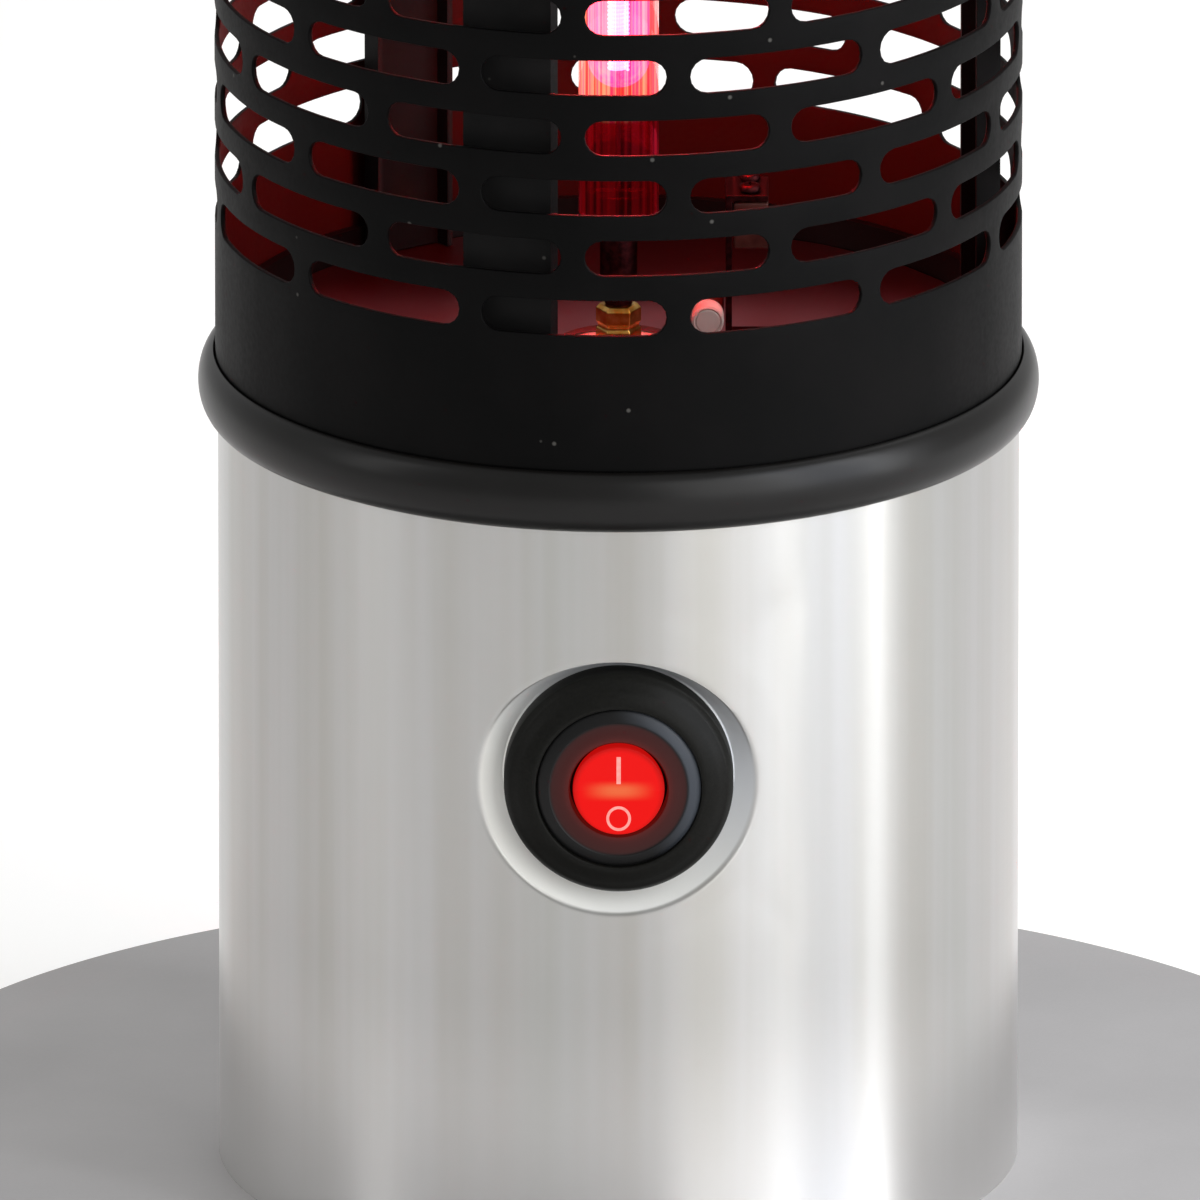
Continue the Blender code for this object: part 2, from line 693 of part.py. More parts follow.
# Cable gland: body outside, seal under its flange, nut inside, a clear bore for the cable
def make_gland(black_plastic, rubber):
    place = outward(180, base_top + gland_height)
    seal_low = column_radius + touch_gap
    seal_high = seal_low + gland_seal_thickness
    flange_low = seal_high + touch_gap
    flange_high = flange_low + gland_flange_height
    dome_high = flange_high + gland_dome_height
    nut_high = math.sqrt(shell_inner ** 2 - gland_nut_radius ** 2) - touch_gap
    nut_low = nut_high - gland_nut_height
    tail = nut_low - gland_thread_tail
    thread = gland_thread_radius
    body = [(gland_bore_radius, tail), (thread, tail), (thread, flange_low), (gland_flange_radius, flange_low),
            (gland_flange_radius, flange_high), (gland_dome_radius, flange_high),
            (gland_dome_radius, dome_high - base_edge_radius), (gland_dome_radius - base_edge_radius, dome_high),
            (gland_bore_radius, dome_high)]
    turned("gland_body", body, black_plastic, place, steps=middle_round, closed=True)
    hole = thread + touch_gap
    seal = ring_outline(hole, gland_flange_radius, seal_low, seal_high)
    turned("gland_seal", seal, rubber, place, steps=middle_round, closed=True)
    nut = ring_outline(hole, gland_nut_radius, nut_low, nut_high)
    turned("gland_nut", nut, black_plastic, place, steps=middle_round, closed=True)


# Closed steel cap over the upper trim ring's collar
def make_cap(brushed_steel, upper_ring, zinc):
    top = cap_bottom + cap_height
    inner = column_radius - cap_wall
    corner = (column_radius - cap_edge_radius, top - cap_edge_radius)
    outer_round = arc_points(corner, cap_edge_radius, 0, 90)
    inner_round = arc_points(corner, cap_edge_radius - cap_wall, 90, 0)
    outline = [(column_radius, cap_bottom), *outer_round, (0, top), (0, top - cap_wall), *inner_round,
               (inner, cap_bottom)]
    cap = turned("top_cap", outline, brushed_steel, steps=big_round, closed=True)
    level = cap_bottom + cap_screw_drop
    side_screws("cap_screw", level, cap_screw_angles, (cap, upper_ring), side_screw_radius,
                side_screw_head_radius, side_screw_head_height, column_radius, side_screw_grip, zinc)


def build_heater():
    clear_scene()
    brushed_steel = make_material("brushed_steel", (0.62, 0.62, 0.62), 0.3, 1.0)
    steel_grey = make_material("base_grey", (0.36, 0.355, 0.36), 0.45, 0.2)
    plain_steel = make_material("plain_steel", (0.5, 0.5, 0.5), 0.4, 1.0)
    zinc = make_material("zinc_screws", (0.6, 0.6, 0.58), 0.35, 1.0)
    black = make_material("black_paint", (0.012, 0.012, 0.012), 0.4)
    mirror_steel = make_material("reflector_steel", (0.7, 0.66, 0.66), 0.15, 1.0)
    black_plastic = make_material("black_plastic", (0.012, 0.012, 0.011), 0.45)
    clear_rubber = make_material("smoked_silicone", (0.05, 0.012, 0.012), 0.2)
    red_lens = make_material("red_lens", (0.9, 0.01, 0.01), 0.3, glow=2.0)
    rubber = make_material("black_rubber", (0.02, 0.02, 0.02), 0.8)
    ceramic = make_material("ceramic", (0.75, 0.7, 0.64), 0.6)
    nickel = make_material("lamp_nickel", (0.6, 0.45, 0.25), 0.3, 1.0)
    quartz = make_material("ruby_quartz", (0.5, 0.01, 0.015), 0.05, alpha=0.5)
    glow = make_material("filament_glow", (1.0, 0.25, 0.3), 0.5, glow=20.0)
    tin = make_material("tinned_brass", (0.65, 0.6, 0.5), 0.35, 1.0)

    make_base(steel_grey, rubber, zinc)
    foot_ring = make_foot_ring(plain_steel)
    make_column(brushed_steel, foot_ring, zinc)
    make_switch(black_plastic, clear_rubber, red_lens, tin)
    make_wiring(plain_steel, ceramic, black_plastic)
    make_gland(black_plastic, rubber)

    trim_ring("trim_ring_lower", lambda height: ring_bottom + height, black)
    upper_ring = trim_ring("trim_ring_upper", lambda height: ring_top - height, black)
    floor_plate = chamber_plate("floor_plate", chamber_floor, chamber_floor - plate_thickness, mirror_steel)
    top_plate = chamber_plate("top_plate", chamber_ceiling, chamber_ceiling + plate_thickness, mirror_steel)
    make_guard(black)
    make_posts(black)
    lamp_end("lower", lambda height: chamber_floor + height, floor_plate, ceramic, nickel, zinc)
    lamp_end("upper", lambda height: chamber_ceiling - height, top_plate, ceramic, nickel, zinc)
    make_lamp(quartz, glow)
    make_bracket(plain_steel, ceramic, zinc)
    make_cap(brushed_steel, upper_ring, zinc)
    tallest = cap_bottom + cap_height
    print(f"heater: {tallest / mm:.1f} mm tall, guard {guard_height / mm:.1f} mm")


build_heater()
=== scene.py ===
# Infrared patio heater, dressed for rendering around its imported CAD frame.
import math

import bpy
from mathutils import Matrix, Vector


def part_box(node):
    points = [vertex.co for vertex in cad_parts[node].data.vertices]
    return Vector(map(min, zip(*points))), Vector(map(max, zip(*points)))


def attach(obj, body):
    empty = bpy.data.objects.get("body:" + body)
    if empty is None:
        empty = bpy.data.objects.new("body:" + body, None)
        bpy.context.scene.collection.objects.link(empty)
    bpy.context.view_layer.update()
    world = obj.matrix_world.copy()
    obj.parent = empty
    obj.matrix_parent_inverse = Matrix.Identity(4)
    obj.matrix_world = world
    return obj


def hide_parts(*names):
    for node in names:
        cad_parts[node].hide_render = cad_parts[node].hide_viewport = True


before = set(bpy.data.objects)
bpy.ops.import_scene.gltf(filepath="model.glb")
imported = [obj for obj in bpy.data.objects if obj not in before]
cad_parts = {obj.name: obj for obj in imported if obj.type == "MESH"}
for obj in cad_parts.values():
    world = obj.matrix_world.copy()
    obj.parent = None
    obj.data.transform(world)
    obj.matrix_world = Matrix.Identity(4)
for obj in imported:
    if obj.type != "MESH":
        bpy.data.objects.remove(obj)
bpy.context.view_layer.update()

mm = 0.001
columnSizes = {"radius": 75.0, "wall": 1.0, "switchLevel": 109.0, "seatPlane": 70.5, "glandLevel": 54.0,
               "screwLevel": 22.0, "screwAngles": (110, 180, 250)}


# Selecting and finishing
def switchTo(mode):
    bpy.ops.object.mode_set(mode=mode)


def clearAll():
    if bpy.context.mode != "OBJECT":
        switchTo("OBJECT")
    bpy.ops.object.select_all(action="DESELECT")


def takeUp(piece):
    clearAll()
    piece.select_set(True)
    bpy.context.view_layer.objects.active = piece


def openUp(piece):
    takeUp(piece)
    switchTo("EDIT")
    bpy.ops.mesh.select_mode(type="VERT")
    bpy.ops.mesh.select_all(action="SELECT")


def rename(piece, name):
    piece.name = name
    piece.data.name = name


# The primitive that was just added becomes the piece, with its place in its mesh
def adopt(name):
    piece = bpy.context.object
    rename(piece, name)
    bpy.ops.object.transform_apply()
    return piece


# Selects what the test accepts (vertices by their place, edges by that of both ends) and opens edit mode
def pick(piece, kind, test):
    takeUp(piece)
    switchTo("EDIT")
    bpy.ops.mesh.select_mode(type=kind)
    bpy.ops.mesh.select_all(action="DESELECT")
    switchTo("OBJECT")
    mesh = piece.data
    if kind == "VERT":
        for point in mesh.vertices:
            point.select = test(point.co)
    else:
        for edge in mesh.edges:
            edge.select = all(test(mesh.vertices[n].co) for n in edge.vertices)
    switchTo("EDIT")


def drawOut(way):
    bpy.ops.mesh.extrude_region_move(TRANSFORM_OT_translate={"value": way})


def cleanUp(piece, distance=0.002):
    openUp(piece)
    bpy.ops.mesh.remove_doubles(threshold=distance * mm)
    bpy.ops.mesh.normals_make_consistent(inside=False)
    switchTo("OBJECT")


def addModifier(piece, kind, settings):
    takeUp(piece)
    added = piece.modifiers.new(kind.lower(), kind)
    for key, value in settings.items():
        setattr(added, key, value)
    bpy.ops.object.modifier_apply(modifier=added.name)


def smooth(piece, angle=40):
    takeUp(piece)
    bpy.ops.object.shade_smooth_by_angle(angle=math.radians(angle))


def roundEdges(piece, width, segments=2, angle=40):
    addModifier(piece, "BEVEL", {"width": width * mm, "segments": segments, "limit_method": "ANGLE",
                                 "angle_limit": math.radians(angle), "use_clamp_overlap": True})
    smooth(piece, 50)
    addModifier(piece, "WEIGHTED_NORMAL", {"keep_sharp": True, "weight": 60})


# Gives an open shell its wall, inwards from its faces
def thicken(piece, wall):
    addModifier(piece, "SOLIDIFY", {"thickness": wall * mm, "offset": -1.0, "use_even_offset": True})


def repeat(piece, count, way):
    addModifier(piece, "ARRAY", {"count": count, "use_relative_offset": False, "use_constant_offset": True,
                                 "constant_offset_displace": way})


def discard(piece):
    bpy.data.objects.remove(piece, do_unlink=True)


def cutWith(piece, tool, operation="DIFFERENCE"):
    addModifier(piece, "BOOLEAN", {"operation": operation, "solver": "EXACT", "object": tool})
    discard(tool)


def joinUp(pieces, name):
    takeUp(pieces[0])
    for piece in pieces:
        piece.select_set(True)
    bpy.ops.object.join()
    rename(pieces[0], name)
    return pieces[0]


def copyTo(source, name, place):
    made = source.copy()
    made.data = source.data.copy()
    rename(made, name)
    bpy.context.scene.collection.objects.link(made)
    made.matrix_world = place
    takeUp(made)
    bpy.ops.object.transform_apply()
    return made


# Points on part of an ellipse, from one angle to another
def arcPoints(centre, across, along, start, end, steps):
    points = []
    for step in range(steps + 1):
        angle = math.radians(start + (end - start) * step / steps)
        points.append((centre[0] + across * math.cos(angle), centre[1] + along * math.sin(angle)))
    return points


# A profile of (radius, height) points in mm, drawn by extruding one vertex and spun about the column's axis,
# or about the switch's or the gland's, where height runs outwards from the column's middle
def spinProfile(name, profile, steps, facing="up", level=0.0):
    side = {"up": 0, "front": -1, "back": 1}[facing]
    if side:
        places = [Vector((radius, side * height, level)) * mm for radius, height in profile]
    else:
        places = [Vector((radius, 0, height + level)) * mm for radius, height in profile]
    clearAll()
    bpy.ops.mesh.primitive_plane_add(size=mm)
    piece = adopt(name)
    openUp(piece)
    bpy.ops.mesh.merge(type="CENTER")
    bpy.ops.transform.translate(value=places[0])
    for before, after in zip(places, places[1:]):
        drawOut(after - before)
    bpy.ops.mesh.select_all(action="SELECT")
    bpy.ops.mesh.spin(steps=steps, angle=math.tau, center=(0, 0, level * mm if side else 0),
                      axis=(0, 1, 0) if side else (0, 0, 1), use_auto_merge=True)
    switchTo("OBJECT")
    cleanUp(piece)
    return piece


def boxPiece(name, low, high):
    clearAll()
    middle = [(a + b) / 2 * mm for a, b in zip(low, high)]
    size = [(b - a) * mm for a, b in zip(low, high)]
    bpy.ops.mesh.primitive_cube_add(size=1, location=middle, scale=size)
    return adopt(name)


def rodPiece(name, radius, low, high, steps, place=Matrix.Identity(4)):
    clearAll()
    bpy.ops.mesh.primitive_cylinder_add(vertices=steps, radius=radius * mm, depth=(high - low) * mm,
                                        location=(0, 0, (low + high) / 2 * mm))
    piece = adopt(name)
    piece.data.transform(place)
    return piece


def lift(height):
    return Matrix.Translation((0, 0, height * mm))


def turn(angle, axis):
    return Matrix.Rotation(math.radians(angle), 4, axis)


# A place round the column at that angle from the front
def around(angle, radius, level=0.0):
    way = math.radians(angle)
    return Matrix.Translation(Vector((radius * math.sin(way), -radius * math.cos(way), level)) * mm)


# Local +Z points out of the column at that angle
def outward(angle, level, out=0.0):
    return lift(level) @ turn(angle, "Z") @ turn(90, "X") @ lift(out)


# Materials
def linear(colour):
    parts = [int(colour[n:n + 2], 16) / 255 for n in (1, 3, 5)]
    return (*[c / 12.92 if c <= 0.04045 else ((c + 0.055) / 1.055) ** 2.4 for c in parts], 1.0)


# An input is a (node, output) pair, a colour or a plain value
def fill(node, inputs):
    for key, value in inputs.items():
        if isinstance(value, tuple) and isinstance(value[0], bpy.types.Node):
            node.id_data.links.new(value[0].outputs[value[1]], node.inputs[key])
        else:
            node.inputs[key].default_value = linear(value) if isinstance(value, str) else value


# A node beside another, with its settings and its inputs
def addNode(near, kind, settings, inputs):
    made = near.id_data.nodes.new("ShaderNode" + kind)
    for key, value in settings.items():
        setattr(made, key, value)
    fill(made, inputs)
    return made


def startFinish(name):
    material = bpy.data.materials.new(name)
    material.use_nodes = True
    shader = material.node_tree.nodes["Principled BSDF"]
    return material, shader, (addNode(shader, "TexCoord", {}, {}), "Object")


def addNoise(spot, scale, detail=2.0, roughness=0.5):
    inputs = {"Vector": spot, "Scale": scale, "Detail": detail, "Roughness": roughness}
    return addNode(spot[0], "TexNoise", {}, inputs), "Fac"


def addStretch(spot, scales):
    return addNode(spot[0], "Mapping", {}, {"Vector": spot, "Scale": scales}), "Vector"


def addRange(value, start, end, low=0.0, high=1.0, curve="SMOOTHSTEP"):
    inputs = {"Value": value, "From Min": start, "From Max": end, "To Min": low, "To Max": high}
    return addNode(value[0], "MapRange", {"interpolation_type": curve}, inputs), "Result"


# Ramp between tones: stops are (position, colour)
def addRamp(share, stops):
    ramp = addNode(share[0], "ValToRGB", {}, {"Fac": share})
    while len(ramp.color_ramp.elements) < len(stops):
        ramp.color_ramp.elements.new(0.5)
    for element, (position, colour) in zip(ramp.color_ramp.elements, stops):
        element.position = position
        element.color = linear(colour)
    return ramp, "Color"


def addMix(share, first, second):
    return addNode(share[0], "Mix", {"data_type": "RGBA"}, {0: share, 6: first, 7: second}), 2


def addMath(operation, first, second=0.0):
    return addNode(first[0], "Math", {"operation": operation}, {0: first, 1: second}), "Value"


# The parts of a place, the place laid flat along X and the other axis, and its distance from the middle
def addFlat(spot, other):
    parts = addNode(spot[0], "SeparateXYZ", {}, {"Vector": spot})
    flat = (addNode(parts, "CombineXYZ", {}, {"X": (parts, "X"), "Y": (parts, other)}), "Vector")
    return parts, flat, (addNode(parts, "VectorMath", {"operation": "LENGTH"}, {0: flat}), "Value")


# The same, seen from the front and measured from the switch's middle
def addSwitchFlat(spot):
    level = columnSizes["switchLevel"] * mm
    centred = addNode(spot[0], "Mapping", {}, {"Vector": spot, "Location": (0, 0, -level)})
    return addFlat((centred, "Vector"), "Z")


# How far a flat place lies in one direction
def addLean(flat, direction):
    return addNode(flat[0], "VectorMath", {"operation": "DOT_PRODUCT"}, {0: flat, 1: direction}), "Value"


# Lets a noise spread the roughness between two values, and raise the surface by (strength, distance)
def roughen(shader, noise, spread=None, relief=None):
    if spread:
        fill(shader, {"Roughness": addRange(noise, 0.0, 1.0, *spread, "LINEAR")})
    if relief:
        strength, distance = relief
        bump = addNode(shader, "Bump", {}, {"Height": noise, "Strength": strength, "Distance": distance})
        fill(shader, {"Normal": (bump, "Normal")})


# An even finish: one noise (scale, detail) shifts its tone, and where given its roughness and relief
def makeEven(name, values, grain, stops, spread=None, relief=None, socket="Base Color", stretch=None):
    material, shader, spot = startFinish(name)
    noise = addNoise(addStretch(spot, stretch) if stretch else spot, *grain)
    fill(shader, {**values, socket: addRamp(noise, stops)})
    roughen(shader, noise, spread, relief)
    return material


# A finish that goes from one tone to another between two places along Y
def makeFading(name, values, front, back, ends, grain, spread):
    material, shader, spot = startFinish(name)
    parts = addNode(shader, "SeparateXYZ", {}, {"Vector": spot})
    fade = addRange((parts, "Y"), *ends)
    fill(shader, {**values, "Base Color": addMix(fade, front, back)})
    roughen(shader, addNoise(spot, *grain), spread)
    return material


# Stainless steel sheet polished round the tube with a fine belt: hairlines run round it, so lights are drawn
# out upwards
def makeBrushedStainless():
    look = {"light": "#B1B1B0", "dark": "#A8A7A3", "foot": "#EDECEA", "seat": "#EEEEE9", "shade": "#BCBEC0",
            "spread": (0.274, 0.286), "hairline": 0.5, "streak": 12.0, "seatRoughness": 0.55}
    material, shader, spot = startFinish("brushedStainless")
    parts, flat, radius = addFlat(spot, "Y")
    across = addMath("ADD", radius, (parts, "Z"))
    fine = addMath("MULTIPLY", across, 1000 / look["hairline"])
    line = addNode(shader, "CombineXYZ", {}, {"Z": fine})
    slow = addNode(shader, "VectorMath", {"operation": "SCALE"}, {0: flat, "Scale": 22.0})
    lines = addNode(shader, "VectorMath", {"operation": "ADD"}, {0: (slow, "Vector"), 1: (line, "Vector")})
    grain = addNoise((lines, "Vector"), 1.0)
    spread = addRange(grain, 0.3, 0.7, *look["spread"], "LINEAR")
    thin = 1000 / look["streak"]
    streaks = addNoise(addStretch(spot, (thin, thin, 1.2)), 1.0, 3.0, 0.6)
    tone = addRamp(streaks, [(0.35, look["dark"]), (0.62, look["light"])])
    # Painted reflection: the bottom of the tube is painted paler, standing in for the pale base plate and
    # floor mirrored in it
    low = addRange((parts, "Z"), 0.008, 0.07, 0.8, 0.0)
    body = addMix(low, tone, look["foot"])

    # The seat is pressed after brushing, so its wall is matt; its colour is painted light:
    # pale as a painted highlight towards the lower left, grey as painted shade towards the upper right
    faced, away = addSwitchFlat(spot)[1:]
    near = addRange(away, 0.029, 0.031, 1.0, 0.0)
    sunk = addRange(radius, 0.0744, 0.07495, 1.0, 0.0)
    front = addRange((parts, "Y"), -0.02, 0.0, 1.0, 0.0, "LINEAR")
    seat = addMath("MULTIPLY", addMath("MULTIPLY", near, sunk), front)
    paintedSeatLight = addRange(addLean(faced, (-0.6, -0.8, 0.0)), -0.016, 0.014)
    wall = addMix(paintedSeatLight, look["shade"], look["seat"])
    matt = addNode(shader, "Mix", {"data_type": "FLOAT"}, {0: seat, 2: spread, 3: look["seatRoughness"]})
    fill(shader, {"Anisotropic": 0.85, "Anisotropic Rotation": 0.25, "Roughness": (matt, 0),
                  "Metallic": addRange(seat, 0.0, 1.0, 1.0, 0.3, "LINEAR"),
                  "Base Color": addMix(seat, body, wall)})
    return material


# Sheet steel in a flat grey powder coat: satin, with a fine grain and faint clouds
def makeGreyCoat():
    look = {"light": "#ACAAAA", "dark": "#A3A1A1", "spread": (0.4, 0.52), "relief": (0.08, 0.00008)}
    material, shader, spot = startFinish("greyPowderCoat")
    tone = addRamp(addNoise(spot, 22.0, 4.0), [(0.3, look["dark"]), (0.7, look["light"])])
    fill(shader, {"Metallic": 0.25, "Base Color": tone})
    roughen(shader, addNoise(spot, 1600.0), look["spread"], look["relief"])
    return material


# Heat resisting paint sprayed on steel: flat black, slightly pebbled, a little dust on it; the guard's inside
# face is painted dark red, a painted glow standing in for the lamp's red light on it
def makeFlatBlack(name, glowInside, paint, thin):
    look = {"redGlow": "#320C0B", "dust": "#6A6864", "spread": (0.45, 0.57), "relief": (0.15, 0.0001)}
    material, shader, spot = startFinish(name)
    tone = addRamp(addNoise(spot, 60.0, 4.0), [(0.4, paint), (0.75, thin)])
    dust = addNode(shader, "TexVoronoi", {}, {"Vector": spot, "Scale": 120.0, "Randomness": 1.0})
    speck = addRange((dust, "Distance"), 0.03, 0.06, 0.4, 0.0, "LINEAR")
    radius = addFlat(spot, "Y")[2]
    # Painted light: the guard's inside face takes the lamp's red glow in its colour
    inside = addRange(radius, 0.07455, 0.0747, glowInside, 0.0, "LINEAR")
    lined = addMix(inside, addMix(speck, tone, look["dust"]), look["redGlow"])
    fill(shader, {"Specular IOR Level": 0.05, "Base Color": lined})
    roughen(shader, addNoise(spot, 900.0, 1.0), look["spread"], look["relief"])
    return material


# Rolled steel trim in satin black enamel: smoother than the guard, with a broad soft sheen
def makeSatinBlack():
    look = {"paint": "#080706", "worn": "#0D0C0B", "spread": (0.25, 0.38), "relief": (0.06, 0.0001)}
    material, shader, spot = startFinish("satinBlackEnamel")
    clouds = addNoise(spot, 45.0, 5.0)
    tone = addRamp(clouds, [(0.35, look["paint"]), (0.75, look["worn"])])
    fill(shader, {"Specular IOR Level": 0.22, "Base Color": tone})
    roughen(shader, clouds, look["spread"])
    roughen(shader, addNoise(spot, 700.0, 1.0), None, look["relief"])
    return material


# Moulded black nylon: dull, with the fine spark-eroded texture of its mould
def makeBlackNylon(name, spread):
    stops = [(0.3, "#0F0F0D"), (0.8, "#161614")]
    return makeEven(name, {"Specular IOR Level": 0.07}, (1800.0, 2.0), stops, spread, (0.12, 0.00006))


# Clear smoked silicone over a black moulding: glossy, black at its rim; the dark red where the lit rocker
# shines through it is a painted glow, in its colour and its emission
def makeSmokedSilicone():
    look = {"rim": "#0B0B0B", "seam": "#1C0A09", "lit": "#200706", "near": "#2C0A08", "glint": "#363A40"}
    material, shader, spot = startFinish("smokedSilicone")
    flat, radius = addSwitchFlat(spot)[1:]
    share = addRange(radius, 0.009, 0.0151, 0.0, 1.0, "LINEAR")
    stops = [(0.0, look["near"]), (0.3, look["lit"]), (0.6, look["seam"]), (0.65, look["rim"])]
    tone = addRamp(share, stops)
    # Painted highlight: the outer slope is painted pale blue-grey on its right side, where the light catches
    # it
    outer = addRange(radius, 0.0127, 0.0134, 0.0, 1.0, "LINEAR")
    turned = addRange(addLean(flat, (0.97, 0.25, 0.0)), 0.002, 0.0135)
    paintedHighlight = addMath("MULTIPLY", outer, turned)
    # Painted glow: these red tones and the emission stand in for the rocker's light coming through the
    # silicone
    shine = [(0.0, "#5A0E0A"), (0.22, "#3A0A08"), (0.55, "#300806"), (0.64, "#000000")]
    fill(shader, {"Roughness": 0.34, "IOR": 1.41, "Specular IOR Level": 0.25, "Emission Strength": 0.7,
                  "Emission Color": addRamp(share, shine), "Base Color": addMix(paintedHighlight, tone, look["glint"])})
    roughen(shader, addNoise(spot, 500.0), None, (0.04, 0.0001))
    return material


# Red polycarbonate lit from behind by a neon lamp: even red, with an orange bar where the lamp stands behind
# the ridge
def makeLitLens():
    look = {"red": "#F0100E", "edge": "#B00C0A", "bar": "#F07A48", "deep": "#500504", "deepEdge": "#300302"}
    material, shader, spot = startFinish("litRedPolycarbonate")
    parts, radius = addSwitchFlat(spot)[::2]
    nearRidge = addRange(addMath("ABSOLUTE", (parts, "Z")), 0.0002, 0.0021, 1.0, 0.0)
    nearMiddle = addRange(addMath("ABSOLUTE", (parts, "X")), 0.0005, 0.0075, 0.85, 0.0)
    bar = addMath("MULTIPLY", nearRidge, nearMiddle)
    rim = addRange(radius, 0.0072, 0.0091)
    glow = addMix(bar, addMix(rim, look["red"], look["edge"]), look["bar"])
    fill(shader, {"Roughness": 0.35, "IOR": 1.58, "Specular IOR Level": 0.06, "Emission Strength": 0.9,
                  "Emission Color": glow, "Base Color": addMix(rim, look["deep"], look["deepEdge"])})
    return material


# Bright bare sheet steel: pale, with the faint rolling lines of the mill
def makeMillSteel(name, light, dark, spread, size, edge="#FFFFFF"):
    stops = [(0.35, dark), (0.7, light)]
    return makeEven(name, {"Metallic": 1.0, "Specular Tint": edge}, (1.0, 4.0), stops, spread,
                    stretch=(1000 / size, 25.0, 1000 / size))


# Ruby quartz tube: clear and deep pink; below the hot capsule it carries the light down in stripes, and fades
# to dark red
def makeRubyQuartz():
    look = {"tint": "#F0546E", "dark": "#E84A66", "stripe": 0.9, "bright": 218.4, "dim": 215.6,
            "shaded": "#94142A"}
    material, shader, spot = startFinish("rubyQuartz")
    thin = 1000 / look["stripe"]
    lines = addNoise(addStretch(spot, (thin, thin, 8.0)), 1.0, 1.0)
    tone = addRamp(lines, [(0.35, look["dark"]), (0.7, look["tint"])])
    parts = addNode(shader, "SeparateXYZ", {}, {"Vector": spot})
    rise = addRange((parts, "Z"), look["dim"] * mm, look["bright"] * mm)
    hot = addRamp(lines, [(0.4, "#D00020"), (0.47, "#F07050"), (0.55, "#FFE0A0"), (0.66, "#F05080")])
    cool = addRamp(lines, [(0.42, "#180103"), (0.6, "#600409")])
    fill(shader, {"Roughness": 0.03, "IOR": 1.46, "Transmission Weight": 1.0,
                  "Emission Strength": 0.5, "Emission Color": addMix(rise, cool, hot),
                  "Base Color": addMix(rise, look["shaded"], tone)})
    return material


# Clear quartz capsule round the coil, filled with magenta light and streaked with peach
def makeLitQuartz():
    material, shader, spot = startFinish("litQuartz")
    lines = addNoise(addStretch(spot, (900.0, 900.0, 12.0)), 1.0, 1.0)
    glow = addRamp(lines, [(0.42, "#FF50C8"), (0.54, "#FF70D8"), (0.62, "#FFD8C0")])
    fill(shader, {"Roughness": 0.05, "IOR": 1.46, "Transmission Weight": 1.0,
                  "Emission Strength": 1.6, "Emission Color": glow,
                  "Base Color": addRamp(lines, [(0.35, "#F8B0D0"), (0.7, "#FFE0E8")])})
    return material


brushedStainless = makeBrushedStainless()
greyCoat = makeGreyCoat()
flatBlack = makeFlatBlack("heatResistingBlack", 0.0, "#121212", "#1A1919")
guardBlack = makeFlatBlack("guardBlackRedLitInside", 1.0, "#040404", "#080707")
satinBlack = makeSatinBlack()
blackNylon = makeBlackNylon("mouldedNylon", (0.37, 0.5))
switchNylon = makeBlackNylon("switchNylon", (0.29, 0.42))
smokedSilicone = makeSmokedSilicone()
litLens = makeLitLens()

# Pale printed mark sunk in the rocker, tinted by the light behind it
markPrint = makeEven("palePrint", {"Roughness": 0.5, "Specular IOR Level": 0.1, "Emission Strength": 1.0,
                                   "Base Color": "#601010"},
                     (1500.0, 2.0), [(0.3, "#FF9C92"), (0.75, "#FFB4AC")], socket="Emission Color")

# Bare steel; the same in painted dark red, as painted shade and painted red lamp light on the steel inside
# the guard;
# and tinned brass for blades and leads
millSteel = makeMillSteel("millSteel", "#BDBCBA", "#A3A2A0", (0.34, 0.52), 1.2)
darkSteel = makeMillSteel("redShadedSteel", "#4A1E20", "#2A1214", (0.34, 0.52), 1.2, "#CBA8A8")
tinnedBrass = makeMillSteel("tinnedBrass", "#D9D0B8", "#BDB298", (0.24, 0.42), 0.7)

# Reflector plate: bright steel painted pink for the lamp's red light on it, and darker red towards the back
# as painted shade
reflectorSteel = makeFading("redLitReflector", {"Metallic": 0.85}, "#885A60", "#4C1216", (0.012, 0.04),
                            (70.0, 3.0), (0.24, 0.42))

# Thermal fuse: pale at its sealed front end, dark brown along the body behind it
fuseTones = makeFading("paleEndFuse", {"IOR": 1.52, "Specular IOR Level": 0.0}, "#CFC4BC", "#4A2A24",
                         (-0.0059, -0.0052), (500.0, 2.0), (0.55, 0.8))

# Steel screws, zinc plated: bright grey with dull patches left by the bath
zincPlate = makeEven("zincPlate", {"Metallic": 1.0}, (700.0, 4.0), [(0.35, "#A9A8A2"), (0.7, "#D2D1CC")],
                     (0.22, 0.42))

# Vulcanised black rubber: dull and slightly chalky
rubber = makeEven("blackRubber", {"IOR": 1.52}, (400.0, 5.0), [(0.35, "#171716"), (0.8, "#2B2A28")],
                  (0.72, 0.9), (0.2, 0.0001))

# Unglazed steatite ceramic: off-white, matt, finely speckled
steatite = makeEven("steatite", {"IOR": 1.55}, (1200.0, 3.0), [(0.3, "#DCD3C8"), (0.7, "#F2ECE4")],
                    (0.5, 0.7))

# Dark brown glazed ceramic: glossy, with the glaze pooled in darker spots
brownGlaze = makeEven("brownGlazedCeramic", {"Roughness": 0.25, "IOR": 1.52, "Specular IOR Level": 0.3},
                      (260.0, 2.0), [(0.35, "#3A1A16"), (0.7, "#56302A")])

# Brass plated with nickel and coloured by heat: yellow gold going brown
heatedBrass = makeEven("heatedBrass", {"Metallic": 1.0, "Roughness": 0.28}, (350.0, 3.0),
                       [(0.35, "#C88A34"), (0.7, "#F0CC74")])

rubyQuartz = makeRubyQuartz()
litQuartz = makeLitQuartz()

